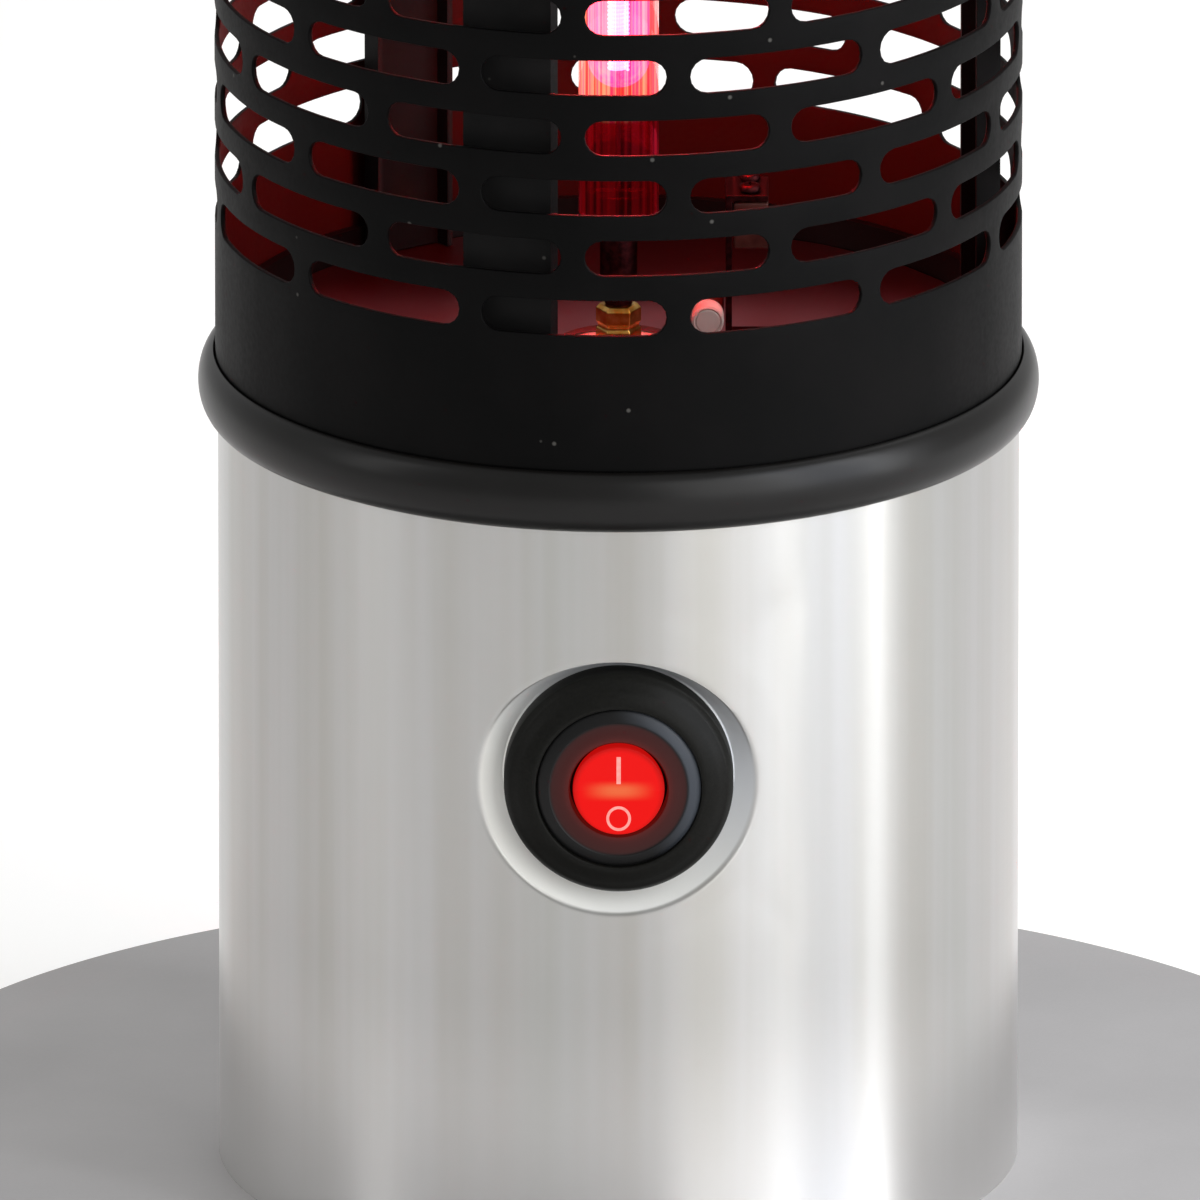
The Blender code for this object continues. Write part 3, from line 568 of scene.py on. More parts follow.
# Unlit quartz of the flat seals at the lamp's ends: clear, with faint ripples from pressing
clearQuartz = makeEven("clearQuartz", {"Roughness": 0.06, "IOR": 1.46, "Transmission Weight": 1.0},
                       (300.0, 1.0), [(0.35, "#D8D4D2"), (0.7, "#F4F0EE")], relief=(0.3, 0.0002))

# Wound tungsten wire at white heat
hotTungsten = makeEven("hotTungsten", {"Metallic": 1.0, "Roughness": 0.4, "Emission Strength": 40.0,
                                       "Base Color": "#6C6862"},
                       (90.0, 2.0), [(0.3, "#FFC8B8"), (0.7, "#FFE6DC")], socket="Emission Color")
print("finishes made:", len(bpy.data.materials))


def settle(piece, material, nodes=(), body="heater"):
    clearAll()
    piece.data.materials.clear()
    piece.data.materials.append(material)
    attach(piece, body)
    if nodes:
        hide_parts(*nodes)


# Round floor plate with rounded edges, and the recesses under it for screws and feet
def makeBasePlate():
    sizes = {"radius": 150.0, "under": 4.0, "top": 12.0, "edge": 1.5, "lowEdge": 0.6, "screwCircle": 57.7,
             "footCircle": 125.0, "screwRecess": 5.5, "recessDepth": 3.3, "footSocket": 3.3,
             "socketDepth": 5.3}
    under, top, edge, low = sizes["under"], sizes["top"], sizes["edge"], sizes["lowEdge"]
    inner = sizes["radius"] - edge
    profile = [(0, under), *arcPoints((inner + edge - low, under + low), low, low, -90, 0, 3),
               *arcPoints((inner, top - edge), edge, edge, 0, 90, 6), (0, top)]
    plate = spinProfile("basePlate", profile, 256)
    holes = []
    for quarter in range(4):
        angle = 45 + 90 * quarter
        at = around(angle, sizes["screwCircle"], under)
        holes.append(rodPiece("hole", sizes["screwRecess"], -3, sizes["recessDepth"], 32, at))
        at = around(angle, sizes["footCircle"], under)
        holes.append(rodPiece("hole", sizes["footSocket"], -3, sizes["socketDepth"], 24, at))
    cutWith(plate, joinUp(holes, "plateHoles"))
    smooth(plate)
    settle(plate, greyCoat, ["base_plate"])


# Rubber foot: domed pad with two grooves that grip the floor, and its stem
def makeFeet():
    sizes = {"radius": 12.0, "height": 3.7, "round": 1.2, "stem": 3.0, "stemTop": 9.0, "circle": 125.0,
             "groove": 0.5}
    corner, groove, stem, top = sizes["round"], sizes["groove"], sizes["stem"], sizes["stemTop"]
    edge = sizes["radius"] - corner
    profile = [(0, groove), (3.0, groove), (3.4, 0), (6.4, 0), (6.7, groove), (7.6, groove), (7.9, 0),
               (edge, 0), *arcPoints((edge, corner), corner, corner, -80, 0, 4),
               (sizes["radius"] - 0.4, sizes["height"]), (stem, sizes["height"]), (stem, top - 0.6),
               (stem - 0.6, top), (0, top)]
    pattern = spinProfile("footPattern", profile, 48)
    smooth(pattern, 35)
    for number in range(4):
        foot = copyTo(pattern, f"rubberFoot{number + 1}", around(45 + 90 * number, sizes["circle"]))
        settle(foot, rubber, [f"foot_{number + 1}"])
    discard(pattern)


# Pan head screw with a cross recess; +Z points out of its head and the head's underside is at zero
def makeScrewPattern(sizes):
    head, rise, shank, length = sizes["head"], sizes["rise"], sizes["shank"], sizes["length"]
    profile = [(0, -length), (shank * 0.7, -length), (shank, -length + 0.4), (shank, 0), (head - 0.15, 0),
               (head, 0.15), (head, rise * 0.45),
               *arcPoints((head * 0.55, rise * 0.45), head * 0.43, rise * 0.55, 15, 90, 4), (0, rise)]
    screw = spinProfile("screwPattern", profile, 32)
    arm, width, depth = head * 0.52, head * 0.17, rise * 0.62
    for wide, deep in ((arm, width / 2), (width / 2, arm)):
        cutWith(screw, boxPiece("recess", (-wide, -deep, rise - depth), (wide, deep, rise + 1)))
    smooth(screw, 38)
    return screw


def placeScrews(sizes, places, newName, nodePrefix, finish=zincPlate):
    pattern = makeScrewPattern(sizes)
    for number, place in enumerate(places, 1):
        screw = copyTo(pattern, f"{newName}{number}", place)
        settle(screw, finish, [f"{nodePrefix}_{number}"])
    discard(pattern)


def makeScrews():
    side = {"head": 3.4, "rise": 1.8, "shank": 1.7, "length": 2.9, "out": 75.3, "capLevel": 491.5}
    under = {"head": 4.8, "rise": 2.6, "shank": 2.5, "circle": 57.7}
    small = {"head": 2.0, "rise": 1.3, "shank": 1.1, "length": 7.0}
    for level, name, node in ((columnSizes["screwLevel"], "shellScrew", "shell_screw"),
                              (side["capLevel"], "capScrew", "cap_screw")):
        places = [outward(angle, level, side["out"]) for angle in columnSizes["screwAngles"]]
        placeScrews(side, places, name, node)
    low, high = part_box("base_screw_1")
    seat = low.z / mm + under["rise"]
    under["length"] = high.z / mm - seat
    places = [around(45 + 90 * n, under["circle"], seat) @ turn(180, "X") for n in range(4)]
    placeScrews(under, places, "baseScrew", "base_screw")
    places = []
    for number in (1, 2):
        low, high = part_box(f"bracket_screw_{number}")
        middle = (low + high) / 2
        places.append(Matrix.Translation((middle.x, middle.y, high.z - small["rise"] * mm)))
    placeScrews(small, places, "bracketScrew", "bracket_screw", darkSteel)


# Column: rings are drawn outwards from the switch's hole, laid on the tube or in the pressed seat, and the
# tube is then spun round from the patch's sides
def makeColumnShell():
    sizes = {"hole": 10.2, "patch": 34.0, "bottom": 12.03, "top": 157.7, "wallStart": 21.6, "wallEnd": 26.6,
             "lastRing": 31.8, "dishX": -0.4, "dishZ": -1.7, "dishWide": 26.3, "dishHigh": 24.6,
             "dishTop": 24.9, "floorEdge": 71.0, "sideDrop": 1.4, "bowl": 0.45, "rim": 0.12,
             "glandHole": 8.3, "screwHole": 2.0, "cutFrom": 60, "cutTo": 90}
    radius, level, seat = columnSizes["radius"], columnSizes["switchLevel"], columnSizes["seatPlane"]
    start, end, patch = sizes["wallStart"], sizes["wallEnd"], sizes["patch"]
    wallRings = [start + (end - start) * step / 12 for step in range(19)]
    rings = [sizes["hole"], 13.0, 17.0, 20.6, *wallRings, 30.5, sizes["lastRing"]]

    # How far the dish's rim is from the switch's middle in that direction
    def rimAt(x, up, away):
        high = sizes["dishTop"] if up > sizes["dishZ"] / sizes["dishWide"] * away else sizes["dishHigh"]
        acrossX, acrossZ = x / away / sizes["dishWide"], up / away / high
        offX, offZ = sizes["dishX"] / sizes["dishWide"], sizes["dishZ"] / high
        square, cross = acrossX ** 2 + acrossZ ** 2, acrossX * offX + acrossZ * offZ
        return (cross + math.sqrt(cross ** 2 - square * (offX ** 2 + offZ ** 2 - 1))) / square

    # The nominal rings are moved so that one lies on the dish's rim, and every point gets its depth
    def laid(x, up):
        away = math.hypot(x, up)
        if away < start - 0.01:
            return x, up, seat
        rim, share = rimAt(x, up, away), (away - start) / (end - start)
        moved = start + (rim - start) * share
        if share > 1:
            moved = rim + (away - end) * (sizes["lastRing"] - rim) / (sizes["lastRing"] - end)
        x, up = x * moved / away, up * moved / away
        tube = math.sqrt(radius ** 2 - x ** 2)
        low = sizes["floorEdge"] - sizes["sideDrop"] * (x / moved) ** 2
        high = math.sqrt(radius ** 2 - (x * rim / moved) ** 2)
        wall = low + (high - low) * share * (1 - sizes["bowl"] + sizes["bowl"] * share)
        return x, up, min(tube, wall) - sizes["rim"] * math.log1p(math.exp(-abs(tube - wall) / sizes["rim"]))

    # The outermost ring becomes a square on the tube
    def squared(x, up):
        way = (math.degrees(math.atan2(up, x)) + 45) % 360
        side, share = int(way // 90 + 1e-6), (way % 90) / 90
        if abs(share - 1) < 1e-4:
            side, share = side + 1, 0.0
        run = (2 * share - 1) * patch
        x, up = [(patch, run), (-run, patch), (-patch, -run), (run, -patch)][side % 4]
        return x, up, math.sqrt(radius ** 2 - x ** 2)

    clearAll()
    bpy.ops.mesh.primitive_circle_add(vertices=96, radius=rings[0] * mm,
                                      location=(0, -radius * mm, level * mm),
                                      rotation=(math.radians(90), 0, 0))
    shell = adopt("columnShell")
    openUp(shell)
    growths = [after / before for before, after in zip(rings, rings[1:])]
    for grow in [*growths, 1.02]:
        bpy.ops.mesh.extrude_region_move()
        bpy.ops.transform.resize(value=(grow, 1, grow), center_override=(0, 0, level * mm))
    switchTo("OBJECT")
    for point in shell.data.vertices:
        x, up = point.co.x / mm, point.co.z / mm - level
        lay = squared if math.hypot(x, up) > rings[-1] * 1.005 else laid
        x, up, depth = lay(x, up)
        point.co = (x * mm, -depth * mm, (level + up) * mm)
    edge = patch * mm
    bpy.context.view_layer.update()
    pick(shell, "EDGE", lambda co: abs(co.x - edge) < 1e-5)
    way = 360 - 2 * math.degrees(math.asin(patch / radius))
    bpy.ops.mesh.spin(steps=150, angle=-math.radians(way), center=(0, 0, 0), axis=(0, 0, 1))
    switchTo("OBJECT")
    cleanUp(shell, 0.01)
    for rim, rimEnd, steps in ((level + patch, sizes["top"], 2), (level - patch, sizes["bottom"], 8)):
        pick(shell, "EDGE", lambda co: abs(co.z - rim * mm) < 1e-5)
        for step in range(steps):
            drawOut((0, 0, (rimEnd - rim) / steps * mm))
        switchTo("OBJECT")
    cleanUp(shell, 0.01)
    thicken(shell, columnSizes["wall"])
    low, high = sizes["cutFrom"], sizes["cutTo"]
    place = outward(180, columnSizes["glandLevel"])
    tools = [rodPiece("glandHole", sizes["glandHole"], low, high, 48, place)]
    for angle in columnSizes["screwAngles"]:
        place = outward(angle, columnSizes["screwLevel"])
        tools.append(rodPiece("screwHole", sizes["screwHole"], low, high, 24, place))
    cutWith(shell, joinUp(tools, "shellHoles"))
    smooth(shell, 38)
    settle(shell, brushedStainless, ["body_shell"])


# Rolled trim ring with a full, rounded outer side and a thin lip round the guard
def makeTrimRings():
    sizes = {"height": 11.7, "bulge": 78.7, "waist": 75.3, "collar": 71.9, "spigot": 73.8, "lip": 75.8,
             "seat": 7.7, "spigotTop": 18.0, "spigotInner": 72.0, "plateSeat": 11.0, "ledge": 66.0,
             "collarDrop": 8.0, "seatRing": 73.7, "lowerLevel": 158.0, "upperLevel": 486.7}
    height, waist, lip, drop = sizes["height"], sizes["waist"], sizes["lip"], -sizes["collarDrop"]
    outer = arcPoints((waist, height / 2), sizes["bulge"] - waist, height / 2, -90, 82, 20)
    collar, spigot, inner = sizes["collar"], sizes["spigot"], sizes["spigotInner"]
    seatRing = sizes["seatRing"]
    profile = [(collar, drop), (seatRing, drop), (seatRing, 0), *outer, (lip + 0.15, height),
               (lip, height - 0.15), (lip, sizes["seat"]), (spigot, sizes["seat"]),
               (spigot, sizes["spigotTop"]), (inner, sizes["spigotTop"]), (inner, sizes["plateSeat"]),
               (sizes["ledge"], sizes["plateSeat"]), (collar, 0), (collar, drop)]
    for name, node, sign, level in (("trimRingLower", "trim_ring_lower", 1, sizes["lowerLevel"]),
                                    ("trimRingUpper", "trim_ring_upper", -1, sizes["upperLevel"])):
        ring = spinProfile(name, [(radius, sign * up) for radius, up in profile], 192, "up", level)
        smooth(ring)
        settle(ring, satinBlack, [node])


# Guard: one slot in its tile is drawn flat, repeated as a sheet and bent round into the tube
def makeGuard():
    sizes = {"radius": 75.5, "wall": 1.0, "rows": 22, "slots": 12, "slotHeight": 6.8, "web": 4.4,
             "pitch": 11.7, "band": 30.1, "firstSlot": 23.5, "edge": 0.18}
    low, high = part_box("guard")
    radius, slots, pitch = sizes["radius"], sizes["slots"], sizes["pitch"]
    span = 2 * math.pi * radius / slots
    halfSlot, halfRow = sizes["slotHeight"] / 2, pitch / 2
    end = (span - sizes["web"] - sizes["slotHeight"]) / 2         # where the straight part of a slot ends
    columns = (0, span / 16, span / 8, span / 4, 3 * span / 8)
    clearAll()
    bpy.ops.mesh.primitive_circle_add(vertices=16, radius=halfSlot * mm, rotation=(math.radians(90), 0, 0))
    guard = adopt("slottedGuard")
    pick(guard, "VERT", lambda co: co.x < -1e-6)
    bpy.ops.mesh.delete(type="VERT")
    bpy.ops.mesh.select_all(action="SELECT")
    bpy.ops.transform.translate(value=(end * mm, 0, 0))
    for side in (1, -1):
        pick(guard, "VERT", lambda co: abs(co.x - end * mm) < 1e-6 and co.z * side > 0)
        place = end
        for column in reversed(columns[:-1]):
            drawOut(((column - place) * mm, 0, 0))
            place = column
    bpy.ops.mesh.select_all(action="SELECT")
    drawOut((0, -mm, 0))
    switchTo("OBJECT")
    for point in guard.data.vertices:                              # the drawn-out rim becomes the tile's edge
        if point.co.y > -mm / 2:
            continue
        x, z = point.co.x / mm, point.co.z / mm
        across, up = x, halfRow
        if x > end + 0.01:
            way = abs(math.degrees(math.atan2(z, x - end)))
            across = 7 * span / 16 if way > 60 else span / 2
            up = halfRow if way > 40 else halfRow / 2 if way > 20 else 0.0
        elif x > end - 0.01:
            across = columns[-1]
        point.co = (across * mm, 0, math.copysign(up, z) * mm)
    addModifier(guard, "MIRROR", {"use_axis": (True, False, False), "merge_threshold": 0.01 * mm})
    repeat(guard, slots, (span * mm, 0, 0))
    shift = math.radians(sizes["firstSlot"]) * radius - (slots - 1) / 2 * span
    guard.data.transform(Matrix.Translation((shift % span * mm - (slots - 1) / 2 * span * mm, 0,
                                             low.z + (sizes["band"] + halfSlot) * mm)))
    offset = copyTo(guard, "offsetRow", Matrix.Translation((span / 2 * mm, 0, pitch * mm)))
    joinUp([guard, offset], "slottedGuard")
    repeat(guard, sizes["rows"] // 2, (0, 0, 2 * pitch * mm))
    reach = [point.co.x for point in guard.data.vertices]
    addModifier(guard, "SIMPLE_DEFORM", {"deform_method": "BEND", "deform_axis": "Z",
                                         "angle": (max(reach) - min(reach)) / (radius * mm)})
    guard.data.transform(Matrix.Translation((0, -radius * mm, 0)))
    cleanUp(guard, 0.03)
    lowRow = low.z + (sizes["band"] + halfSlot - halfRow) * mm
    for rim, rimEnd in ((lowRow, low.z), (lowRow + sizes["rows"] * pitch * mm, high.z)):
        pick(guard, "EDGE", lambda co: abs(co.z - rim) < 1e-5)
        drawOut((0, 0, rimEnd - rim))
    cleanUp(guard, 0.03)
    thicken(guard, sizes["wall"])
    roundEdges(guard, sizes["edge"], 1, 50)
    settle(guard, guardBlack, ["guard"])


# Folded channel posts: a strip with its long sides folded towards the lamp
def makePosts():
    sizes = {"width": 17.0, "fold": 4.5, "wall": 1.2, "outside": 71.0, "low": 170.6, "high": 474.1,
             "angles": (-17, 100, 215)}
    half, wall = sizes["width"] / 2, sizes["wall"]
    middle = (sizes["low"] + sizes["high"]) / 2
    low, high = sizes["low"] - middle, sizes["high"] - middle
    pattern = boxPiece("post", (-half, -wall, low), (half, 0, high))
    for side in (-1, 1):
        at = side * (half - wall / 2)
        fold = boxPiece("fold", (at - wall / 2, -sizes["fold"], low), (at + wall / 2, -wall / 2, high))
        cutWith(pattern, fold, "UNION")
    roundEdges(pattern, 0.5, 3)
    for number, angle in enumerate(sizes["angles"], 1):
        place = lift(middle) @ turn(angle, "Z") @ Matrix.Translation((0, -sizes["outside"] * mm, 0))
        post = copyTo(pattern, f"channelPost{number}", place @ turn(180, "Z"))
        settle(post, flatBlack, [f"post_{number}"])
    discard(pattern)


# Top cap: drawn steel with a rounded shoulder
def makeTopCap():
    sizes = {"radius": 75.0, "wall": 1.0, "bottom": 487.0, "top": 519.0, "shoulder": 5.0}
    radius, wall, bottom, top, shoulder = sizes.values()
    middle = (radius - shoulder, top - shoulder)
    profile = [(radius - 0.2, bottom), (radius, bottom + 0.2),
               *arcPoints(middle, shoulder, shoulder, 0, 90, 10), (50, top), (25, top), (0, top),
               (0, top - wall), *arcPoints(middle, shoulder - wall, shoulder - wall, 90, 0, 6),
               (radius - wall, bottom), (radius - 0.2, bottom)]
    cap = spinProfile("topCap", profile, 192)
    smooth(cap)
    settle(cap, brushedStainless, ["top_cap"])


# Switch: bezel with a soft shoulder, and the silicone cone in its mouth
def makeSwitch():
    sizes = {"bore": 10.2, "outer": 21.4, "foot": 70.8, "side": 75.9, "shoulder": 20.2, "crown": 16.9,
             "top": 80.0, "mouth": 15.4, "floor": 76.7}
    bore, outer, foot, side, shoulder, crown, top, mouth, floor = sizes.values()
    rim = [(bore, foot), (outer - 0.3, foot), (outer, foot + 0.3), (outer, side), (outer - 0.15, 76.2),
           (shoulder + 0.45, 77.1), (shoulder, 77.5), (shoulder - 0.5, 77.8), (19.0, 78.55), (18.0, 79.2),
           (crown, 79.75), (16.3, 79.95), (15.9, top), (15.55, 79.85), (mouth, 79.5), (mouth, floor),
           (bore, floor), (bore, foot)]
    cone = [(9.1, 77.0), (15.35, 77.0), (15.35, 79.25), (15.2, 79.45), (14.2, 79.85), (13.3, 80.2),
            (13.05, 80.23), (12.85, 80.13), (12.6, 80.1), (11.0, 80.3), (10.0, 80.4), (9.35, 80.35),
            (9.1, 80.1), (9.1, 77.0)]
    for name, profile, finish, slot, node in (
            ("switchBezel", rim, switchNylon, "black_plastic", "switch_bezel"),
            ("switchBoot", cone, smokedSilicone, "smoked_silicone", "switch_boot")):
        piece = spinProfile(name, profile, 128, "front", columnSizes["switchLevel"])
        smooth(piece, 32)
        settle(piece, finish, [node])


# Round rocker: a ball cut by two faces that meet in a ridge, with a bar and a ring standing proud of them
def makeRocker():
    sizes = {"ball": 8.55, "pivot": 79.5, "ridge": 80.8, "back": 76.0, "throw": 16.0, "barWide": 0.8,
             "barLow": 1.3, "barHigh": 6.6, "ringOut": 2.3, "ringIn": 1.78, "ringDown": 5.2, "proud": 0.07,
             "reach": 15}
    level, front, proud, reach = columnSizes["switchLevel"], sizes["ridge"], sizes["proud"], sizes["reach"]
    clearAll()
    bpy.ops.mesh.primitive_uv_sphere_add(segments=96, ring_count=48, radius=sizes["ball"] * mm,
                                         location=(0, -sizes["pivot"] * mm, level * mm),
                                         rotation=(math.radians(90), 0, 0))
    rocker = adopt("rockerLens")
    ridge = Vector((0, -front, level)) * mm
    wedge = boxPiece("wedge", (-reach, -2 * reach, 0), (reach, 0, 2 * reach))    # over the pressed half
    wedge.data.transform(Matrix.Translation(ridge))
    lower = boxPiece("lowerWedge", (-reach, -2 * reach, -2 * reach), (reach, 0, 0))
    lower.data.transform(Matrix.Translation(ridge) @ turn(-sizes["throw"], "X"))
    cutWith(rocker, wedge)
    cutWith(rocker, lower)
    back = -sizes["back"]
    cutWith(rocker, boxPiece("backCut", (-reach, back, level - reach), (reach, back + reach, level + reach)))
    roundEdges(rocker, 0.3, 3, 12)
    settle(rocker, litLens, ["switch_rocker"], "rocker")

    half = sizes["barWide"] / 2
    bar = boxPiece("markBar", (-half, -front - proud, level + sizes["barLow"]),
                   (half, -front + 0.1, level + sizes["barHigh"]))
    roundEdges(bar, 0.05, 2)
    settle(bar, markPrint, body="rocker")
    inner, outer = sizes["ringIn"], sizes["ringOut"]
    ring = [(inner, -0.1), (outer, -0.1), (outer, proud - 0.03), (outer - 0.05, proud), (inner + 0.05, proud),
            (inner, proud - 0.03), (inner, -0.1)]
    loop = spinProfile("markRing", ring, 48)
    lean, down = math.radians(sizes["throw"]), sizes["ringDown"]
    middle = ridge + Vector((0, -down * math.sin(lean), -down * math.cos(lean))) * mm
    loop.data.transform(Matrix.Translation(middle) @ turn(90 - sizes["throw"], "X"))
    smooth(loop, 30)
    settle(loop, markPrint, body="rocker")


# Lamp: ruby sleeve, clear capsule with round ends, hot coil and its leads
def makeLamp():
    sizes = {"sleeve": 7.5, "sleeveWall": 1.2, "lip": 0.4, "capsule": 5.7, "capsuleWall": 0.9, "coil": 1.75,
             "wire": 0.32, "turn": 0.8, "glowEnd": 221.3, "coilEnd": 224.6, "lead": 0.4}
    low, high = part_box("lamp_tube")
    bottom = low.z / mm
    middle = (bottom + high.z / mm) / 2

    # The same points at the lamp's other end
    def mirrored(points):
        return [(radius, 2 * middle - height) for radius, height in reversed(points)]

    lip, inner = sizes["lip"], sizes["sleeve"] - sizes["sleeveWall"]
    edge = sizes["sleeve"] - lip
    half = [(inner, bottom), (edge, bottom), *arcPoints((edge, bottom + lip), lip, lip, -90, 0, 3)[1:]]
    sleeve = spinProfile("rubySleeve", [*half, *mirrored(half), (inner, bottom)], 64)
    smooth(sleeve)
    settle(sleeve, rubyQuartz, ["lamp_tube"])
    sleeve.visible_shadow = False

    radius, end = sizes["capsule"], sizes["glowEnd"]
    thin = radius - sizes["capsuleWall"]
    outside = [(0.01, end), *arcPoints((0, end + radius), radius, radius, -84, 0, 10)]
    inside = [*arcPoints((0, end + radius), thin, thin, 0, -84, 8), (0.01, end + sizes["capsuleWall"])]
    capsule = spinProfile("lampCapsule", outside + mirrored(outside), 48)
    hollow = spinProfile("capsuleInside", mirrored(inside) + inside, 48)
    openUp(hollow)
    bpy.ops.mesh.flip_normals()
    switchTo("OBJECT")
    joinUp([capsule, hollow], "lampCapsule")
    smooth(capsule, 50)
    settle(capsule, litQuartz)
    capsule.visible_shadow = False

    coilEnd, step = sizes["coilEnd"], sizes["turn"]
    coilTop = 2 * middle - coilEnd
    clearAll()
    bpy.ops.mesh.primitive_circle_add(vertices=5, radius=sizes["wire"] * mm,
                                      location=(sizes["coil"] * mm, 0, coilEnd * mm),
                                      rotation=(math.radians(90), 0, 0))
    coil = adopt("lampCoil")
    addModifier(coil, "SCREW", {"angle": math.tau, "screw_offset": step * mm, "axis": "Z", "steps": 10,
                                "render_steps": 10, "iterations": int((coilTop - coilEnd) / step),
                                "use_merge_vertices": True, "merge_threshold": 0.001 * mm})
    smooth(coil, 80)
    cleanUp(coil)
    settle(coil, hotTungsten, ["lamp_filament"])
    coil.visible_diffuse = False
    low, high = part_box("lamp_filament")
    leads = joinUp([rodPiece("lead", sizes["lead"], low.z / mm, coilEnd, 10),
                    rodPiece("lead", sizes["lead"], coilTop, high.z / mm, 10)], "lampLeads")
    smooth(leads, 50)
    settle(leads, tinnedBrass)


# Lamp's ends: six-sided foot of heated brass, dark neck with its collar, and the flat quartz seal
def makeLampEnds():
    sizes = {"pinchWide": 4.6, "pinchThick": 1.1, "pinchLow": 30.6, "pinchTop": 47.6}
    foot = [(0, -8.0), (3.6, -8.0), (4.2, -7.4), (4.2, 1.0), (4.3, 1.6), (4.3, 3.2), (3.9, 3.6), (3.9, 4.2),
            (4.3, 4.6), (4.3, 7.2), (3.6, 8.0), (2.1, 8.3), (0, 8.3)]
    neck = [(0, 8.2), (2.6, 8.2), (2.6, 9.0), (3.5, 9.6), (3.5, 23.0), (3.2, 24.2), (7.3, 24.5), (7.5, 24.7),
            (7.5, 25.5), (7.3, 25.7), (6.0, 25.7), (6.0, 30.4), (5.7, 30.7), (0, 30.7)]
    wide, thick = sizes["pinchWide"], sizes["pinchThick"]
    for side, plate, sign in (("lower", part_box("floor_plate")[1].z / mm, 1),
                              ("upper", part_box("top_plate")[0].z / mm, -1)):
        ferrule = spinProfile("lampFoot", [(radius, plate + sign * up) for radius, up in foot], 6)
        roundEdges(ferrule, 0.2, 2, 25)
        holder = spinProfile("lampNeck", [(radius, plate + sign * up) for radius, up in neck], 48)
        smooth(holder)
        low, high = sorted((plate + sign * sizes["pinchLow"], plate + sign * sizes["pinchTop"]))
        pinch = boxPiece("lampPinch", (-wide, -thick, low), (wide, thick, high))
        roundEdges(pinch, 0.6, 3)
        for piece, name, finish, slot in ((ferrule, "lampFoot", heatedBrass, "lamp_nickel"),
                                          (holder, "lampNeck", darkSteel, "lamp_nickel"),
                                          (pinch, "lampPinch", clearQuartz, "ruby_quartz")):
            settle(piece, finish, [f"lamp_end_{side}"])
            piece.name = f"{name}_{side}"
        pinch.visible_shadow = False


# Bracket beside the lamp, its ceramic terminal and the thermal fuse with its crimped end
def makeBracketParts():
    for node, name, material, slot, width in (("fuse_bracket", "fuseBracket", darkSteel, "plain_steel", 0.35),
                                              ("lamp_terminal", "lampTerminal", brownGlaze, "ceramic", 0.5)):
        piece = copyTo(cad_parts[node], name, Matrix.Identity(4))
        cleanUp(piece)
        addModifier(piece, "DECIMATE", {"decimate_type": "DISSOLVE", "angle_limit": math.radians(1)})
        roundEdges(piece, width, 2, 60)
        settle(piece, material, [node])
    low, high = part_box("thermal_fuse")
    radius, length = (high.x - low.x) / 2 / mm, (high.y - low.y) / mm
    profile = [(0, 0), (radius - 0.9, 0), (radius - 0.7, 0.25), (radius - 0.35, 0.0), (radius, 0.35),
               (radius, 3.2), (radius - 0.25, 3.4), (radius - 0.25, 3.9), (radius, 4.1),
               (radius, length - 0.5), (radius - 0.5, length), (0, length)]
    fuse = spinProfile("thermalFuse", profile, 40)
    middle = (low + high) / 2
    fuse.data.transform(Matrix.Translation((middle.x, low.y, middle.z)) @ turn(-90, "X"))
    smooth(fuse, 35)
    settle(fuse, fuseTones, ["thermal_fuse"])


# Cable gland at the back: six-sided flange, ribbed dome nut and a rubber insert in its bore
def makeGland():
    sizes = {"bore": 4.0, "thread": 8.0, "flange": 12.0, "flangeLow": 77.1, "flangeHigh": 81.1, "dome": 8.0,
             "rib": 8.5, "top": 93.1, "tail": 65.8, "ribs": 14, "insert": 3.3}
    level = columnSizes["glandLevel"]
    place = outward(180, level)
    flange = rodPiece("glandFlange", sizes["flange"], sizes["flangeLow"], sizes["flangeHigh"], 6, place)
    roundEdges(flange, 0.5, 2)
    bore, thread, radius = sizes["bore"], sizes["thread"], sizes["dome"]
    top, tail = sizes["top"], sizes["tail"]
    body = [(bore, tail), (thread - 0.5, tail), (thread, tail + 0.5), (thread, 80.9), (radius, 80.9),
            (radius, 88.0), *arcPoints((radius - 3.0, 88.0), 3.0, 5.1, 0, 78, 8), (5.2, top),
            (4.4, top - 0.1), (bore, top - 0.5), (bore, tail)]
    dome = spinProfile("glandDome", body, 64, "back", level)
    smooth(dome)
    pattern = boxPiece("rib", (-0.55, radius - 0.4, 82.0), (0.55, sizes["rib"], 88.6))
    roundEdges(pattern, 0.25, 1)
    ribs = []
    for number in range(sizes["ribs"]):
        ribs.append(copyTo(pattern, "rib", place @ turn(360 * number / sizes["ribs"], "Z")))
    discard(pattern)
    gland = joinUp([dome, flange, *ribs], "cableGland")
    settle(gland, blackNylon, ["gland_body"])
    inner = sizes["insert"]
    sleeve = [(inner, 84.0), (3.9, 84.0), (3.9, 91.8), (3.6, 92.2), (inner, 92.0), (inner, 84.0)]
    washer = [(8.3, 75.3), (11.8, 75.3), (12.0, 75.5), (12.0, 76.6), (11.8, 76.8), (8.3, 76.8), (8.3, 75.3)]
    for name, profile, steps, nodes in (("glandInsert", sleeve, 40, ()),
                                        ("glandSeal", washer, 64, ["gland_seal"])):
        piece = spinProfile(name, profile, steps, "back", level)
        smooth(piece)
        settle(piece, rubber, nodes)


